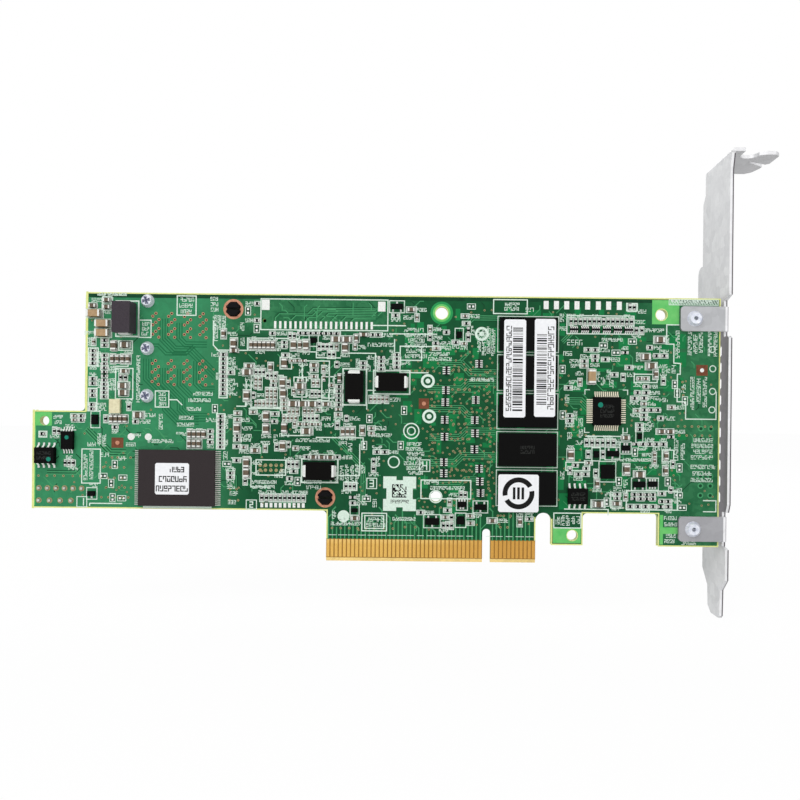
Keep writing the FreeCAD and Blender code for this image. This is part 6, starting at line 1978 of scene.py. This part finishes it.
@dataclass
class Stage:
    """Floor, light and camera.

    Args:
        distance: Camera distance from the solder side, in metres.
        aim: The point on the board in front of the camera, in metres.
        focal: Focal length on a 36 mm sensor.
        shift: Lens shift, along and up.
        roll: Camera roll, degrees.
    """

    distance: float = 0.185
    aim: Point = (-0.013, 0.0335)
    focal: float = 34.2
    shift: Point = (-0.0425, 0.0303)
    roll: float = 0.6

    @staticmethod
    def pale(name: str) -> bpy.types.Material:
        """Makes the floor material, white to the camera with the card's shadow kept.

        Args:
            name: Material name.

        Returns:
            The material.
        """
        material = bpy.data.materials.new(name)
        graph = Graph(material)
        grey = graph.blend(graph.noise(0.02, 2), (0.86, 0.86, 0.86, 1), (0.9, 0.9, 0.9, 1))
        matt = graph.add("ShaderNodeBsdfPrincipled", {"Base Color": grey, "Roughness": 0.9})
        glow = graph.add("ShaderNodeEmission")
        graph.add("ShaderNodeOutputMaterial", {"Surface": graph.choose(graph.seen() * 0.95, matt, glow)})
        return material

    def floor(self) -> None:
        """Lays the floor under the card."""
        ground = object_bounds()[0].z - 0.0002
        mesh = bpy.data.meshes.new("floor")
        reach = 6
        mesh.from_pydata([(-reach, -reach, ground), (reach, -reach, ground), (reach, reach, ground),
                          (-reach, reach, ground)], [], [(0, 1, 2, 3)])
        thing = bpy.data.objects.new("floor", mesh)
        bpy.context.scene.collection.objects.link(thing)
        mesh.materials.append(self.pale("pale_stage"))
        thing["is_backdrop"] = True

    def light(self) -> None:
        """Sets the even white world and the soft lamps."""
        world = bpy.data.worlds.new("studio")
        bpy.context.scene.world = world
        graph = Graph(world)
        soft, white = [graph.add("ShaderNodeBackground", {"Color": (1, 1, 1, 1), "Strength": strength})
                       for strength in (0.78, 1.0)]
        graph.add("ShaderNodeOutputWorld", {"Surface": graph.choose(graph.seen(), soft, white)})
        target = Vector((-0.02, 0.0, 0.035))
        for lamp in LAMPS:
            data = bpy.data.lights.new(lamp.name, "AREA")
            data.size = lamp.size
            data.energy = lamp.power
            thing = bpy.data.objects.new(lamp.name, data)
            thing.location = lamp.place
            thing.rotation_euler = (target - Vector(lamp.place)).to_track_quat("-Z", "Y").to_euler()
            bpy.context.scene.collection.objects.link(thing)

    def camera(self) -> None:
        """Places the camera square to the solder side."""
        data = bpy.data.cameras.new("camera")
        data.lens = self.focal
        data.sensor_width = 36
        data.shift_x, data.shift_y = self.shift
        data.clip_start = 0.005
        thing = bpy.data.objects.new("camera", data)
        place = Matrix.Translation((self.aim[0], BOARD.low.y * MM - self.distance, self.aim[1]))
        turn = Matrix.Rotation(math.radians(90), 4, "X") @ Matrix.Rotation(math.radians(self.roll), 4, "Z")
        thing.matrix_world = place @ turn
        bpy.context.scene.collection.objects.link(thing)
        bpy.context.scene.camera = thing

    def build(self) -> None:
        """Makes the whole stage."""
        self.floor()
        self.light()
        self.camera()


# ------------------------------------------------------------------ putting it together

def paint_nodes() -> None:
    """Gives every CAD node its finish."""
    for node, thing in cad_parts.items():
        thing.data.materials.clear()
        thing.data.materials.append(paint(NODE_FINISHES[node]))


@dataclass(frozen=True)
class BracketLug:
    """The upper part of the bracket's lug, which the CAD's own lug is too short for.

    Args:
        inner: Place of its inner face.
        thick: Thickness of the sheet.
        outline: Its corners, across the card and up.
    """

    inner: float = 57.43
    thick: float = 0.9
    outline: tuple[Point, ...] = ((14.4, 69.0), (17.93, 69.0), (17.93, 74.1), (17.5, 74.9), (16.8, 75.5),
                                  (15.9, 75.8), (14.4, 75.8))

    def build(self) -> None:
        """Makes the piece, no wider than the plate that it grows from."""
        edge, count = node_island("bracket").high.y, len(self.outline)
        piece, ring = Shape("bracket_lug", "steel"), range(count)
        for x in (self.inner, self.inner + self.thick):
            piece.points += [(x, min(y, edge), z) for y, z in self.outline]
        piece.faces += [tuple(ring), tuple(range(2 * count - 1, count - 1, -1))]
        piece.faces += [(step, step + count, (step + 1) % count + count, (step + 1) % count) for step in ring]
        piece.build()


LARGE_PARTS = (
    "memory_back_1", "memory_back_2", "memory_back_3", "memory_back_4", "memory_back_5", "flash_chip",
    "flash_leads", "logic_chip", "logic_leads", "eight_lead_chip_left", "eight_lead_pins_left",
    "eight_lead_chip_right", "eight_lead_pins_right", "slim_chip", "slim_chip_pins", "polymer_capacitor_1",
    "polymer_capacitor_2", "polymer_capacitor_3", "tall_capacitor", "crystal")

# places that stay bare for holes, folds, pads and marks: x, z, width, height
BARE_PLACES = (
    (-11.4, 60.6, 6, 6), (42.1, 60.7, 7, 7), (20.9, 6.8, 6, 5), (-12.4, 15.9, 3.6, 3.6), (-107.8, 33.4, 5, 5),
    (-21.2, 16.5, 8.4, 8.8), (51.5, 59.7, 12, 6.6), (51.5, 8.7, 12, 6.6), (-40.0, 59.9, 31, 7.6),
    (-75.0, 51.0, 15, 22), (-62.1, 61.0, 5.4, 5.4), (-39.3, 15.4, 5.4, 5.4), (-22.7, 24.2, 3.4, 3.4),
    (-18.5, 31.8, 4.4, 4.4), (-14.6, 44.0, 3.8, 3.8), (-14.2, 35.4, 3.8, 3.8), (-15.2, 23.4, 2.8, 3.0),
    (0.0, 6.5, 3.6, 6.0),
)


def take_places(keep: Keepout) -> None:
    """Marks the larger parts' places as taken.

    Args:
        keep: Taken places on the solder side.
    """
    room, lead_room = 0.8, 1.4
    for part in map(node_island, LARGE_PARTS):
        keep.take(*part.centre, part.size[0] + room, part.size[1] + room)
    for part in islands("small_chips") + islands("port_screws") + islands("bracket_rivets"):
        keep.take(*part.centre, part.size[0] + room, part.size[1] + lead_room)
    for place in BARE_PLACES:
        keep.take(*place)


def main() -> None:
    """Builds every piece and the stage."""
    logging.basicConfig(level=logging.INFO, format="%(name)s %(message)s")
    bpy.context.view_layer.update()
    bpy.context.scene.view_settings.view_transform = "Standard"
    dice = random.Random(11)
    keep = Keepout()
    paint_nodes()
    take_places(keep)
    art = BoardArt(dice, keep)
    silk = {side: art.layer("silk", side) for side in Side}
    pads = {side: art.layer("tin", side) for side in Side}
    # darker patches round the chip parts: the mask opening, also painted shade round each part
    bare = {side: art.layer("mask_dark", side) for side in Side}
    chips = ChipDressing(dice, keep)
    for node, reach in TERMINAL_REACH.items():
        chips.dress(node, reach, silk, pads, bare)
    chips.arrays("resistor_arrays", pads)
    chips.build()
    art.edges()
    art.bright_areas()
    art.copper_runs()
    art.pads()
    art.plated_holes()
    art.silkscreen()
    art.code_patch()
    art.designators(TERMINAL_REACH)
    art.scattered_vias()
    art.spare_footprints()
    art.front()
    art.build()
    BracketLug().build()
    Labels(dice).build()
    Stage().build()
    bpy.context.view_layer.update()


if __name__ == "__main__":
    main()
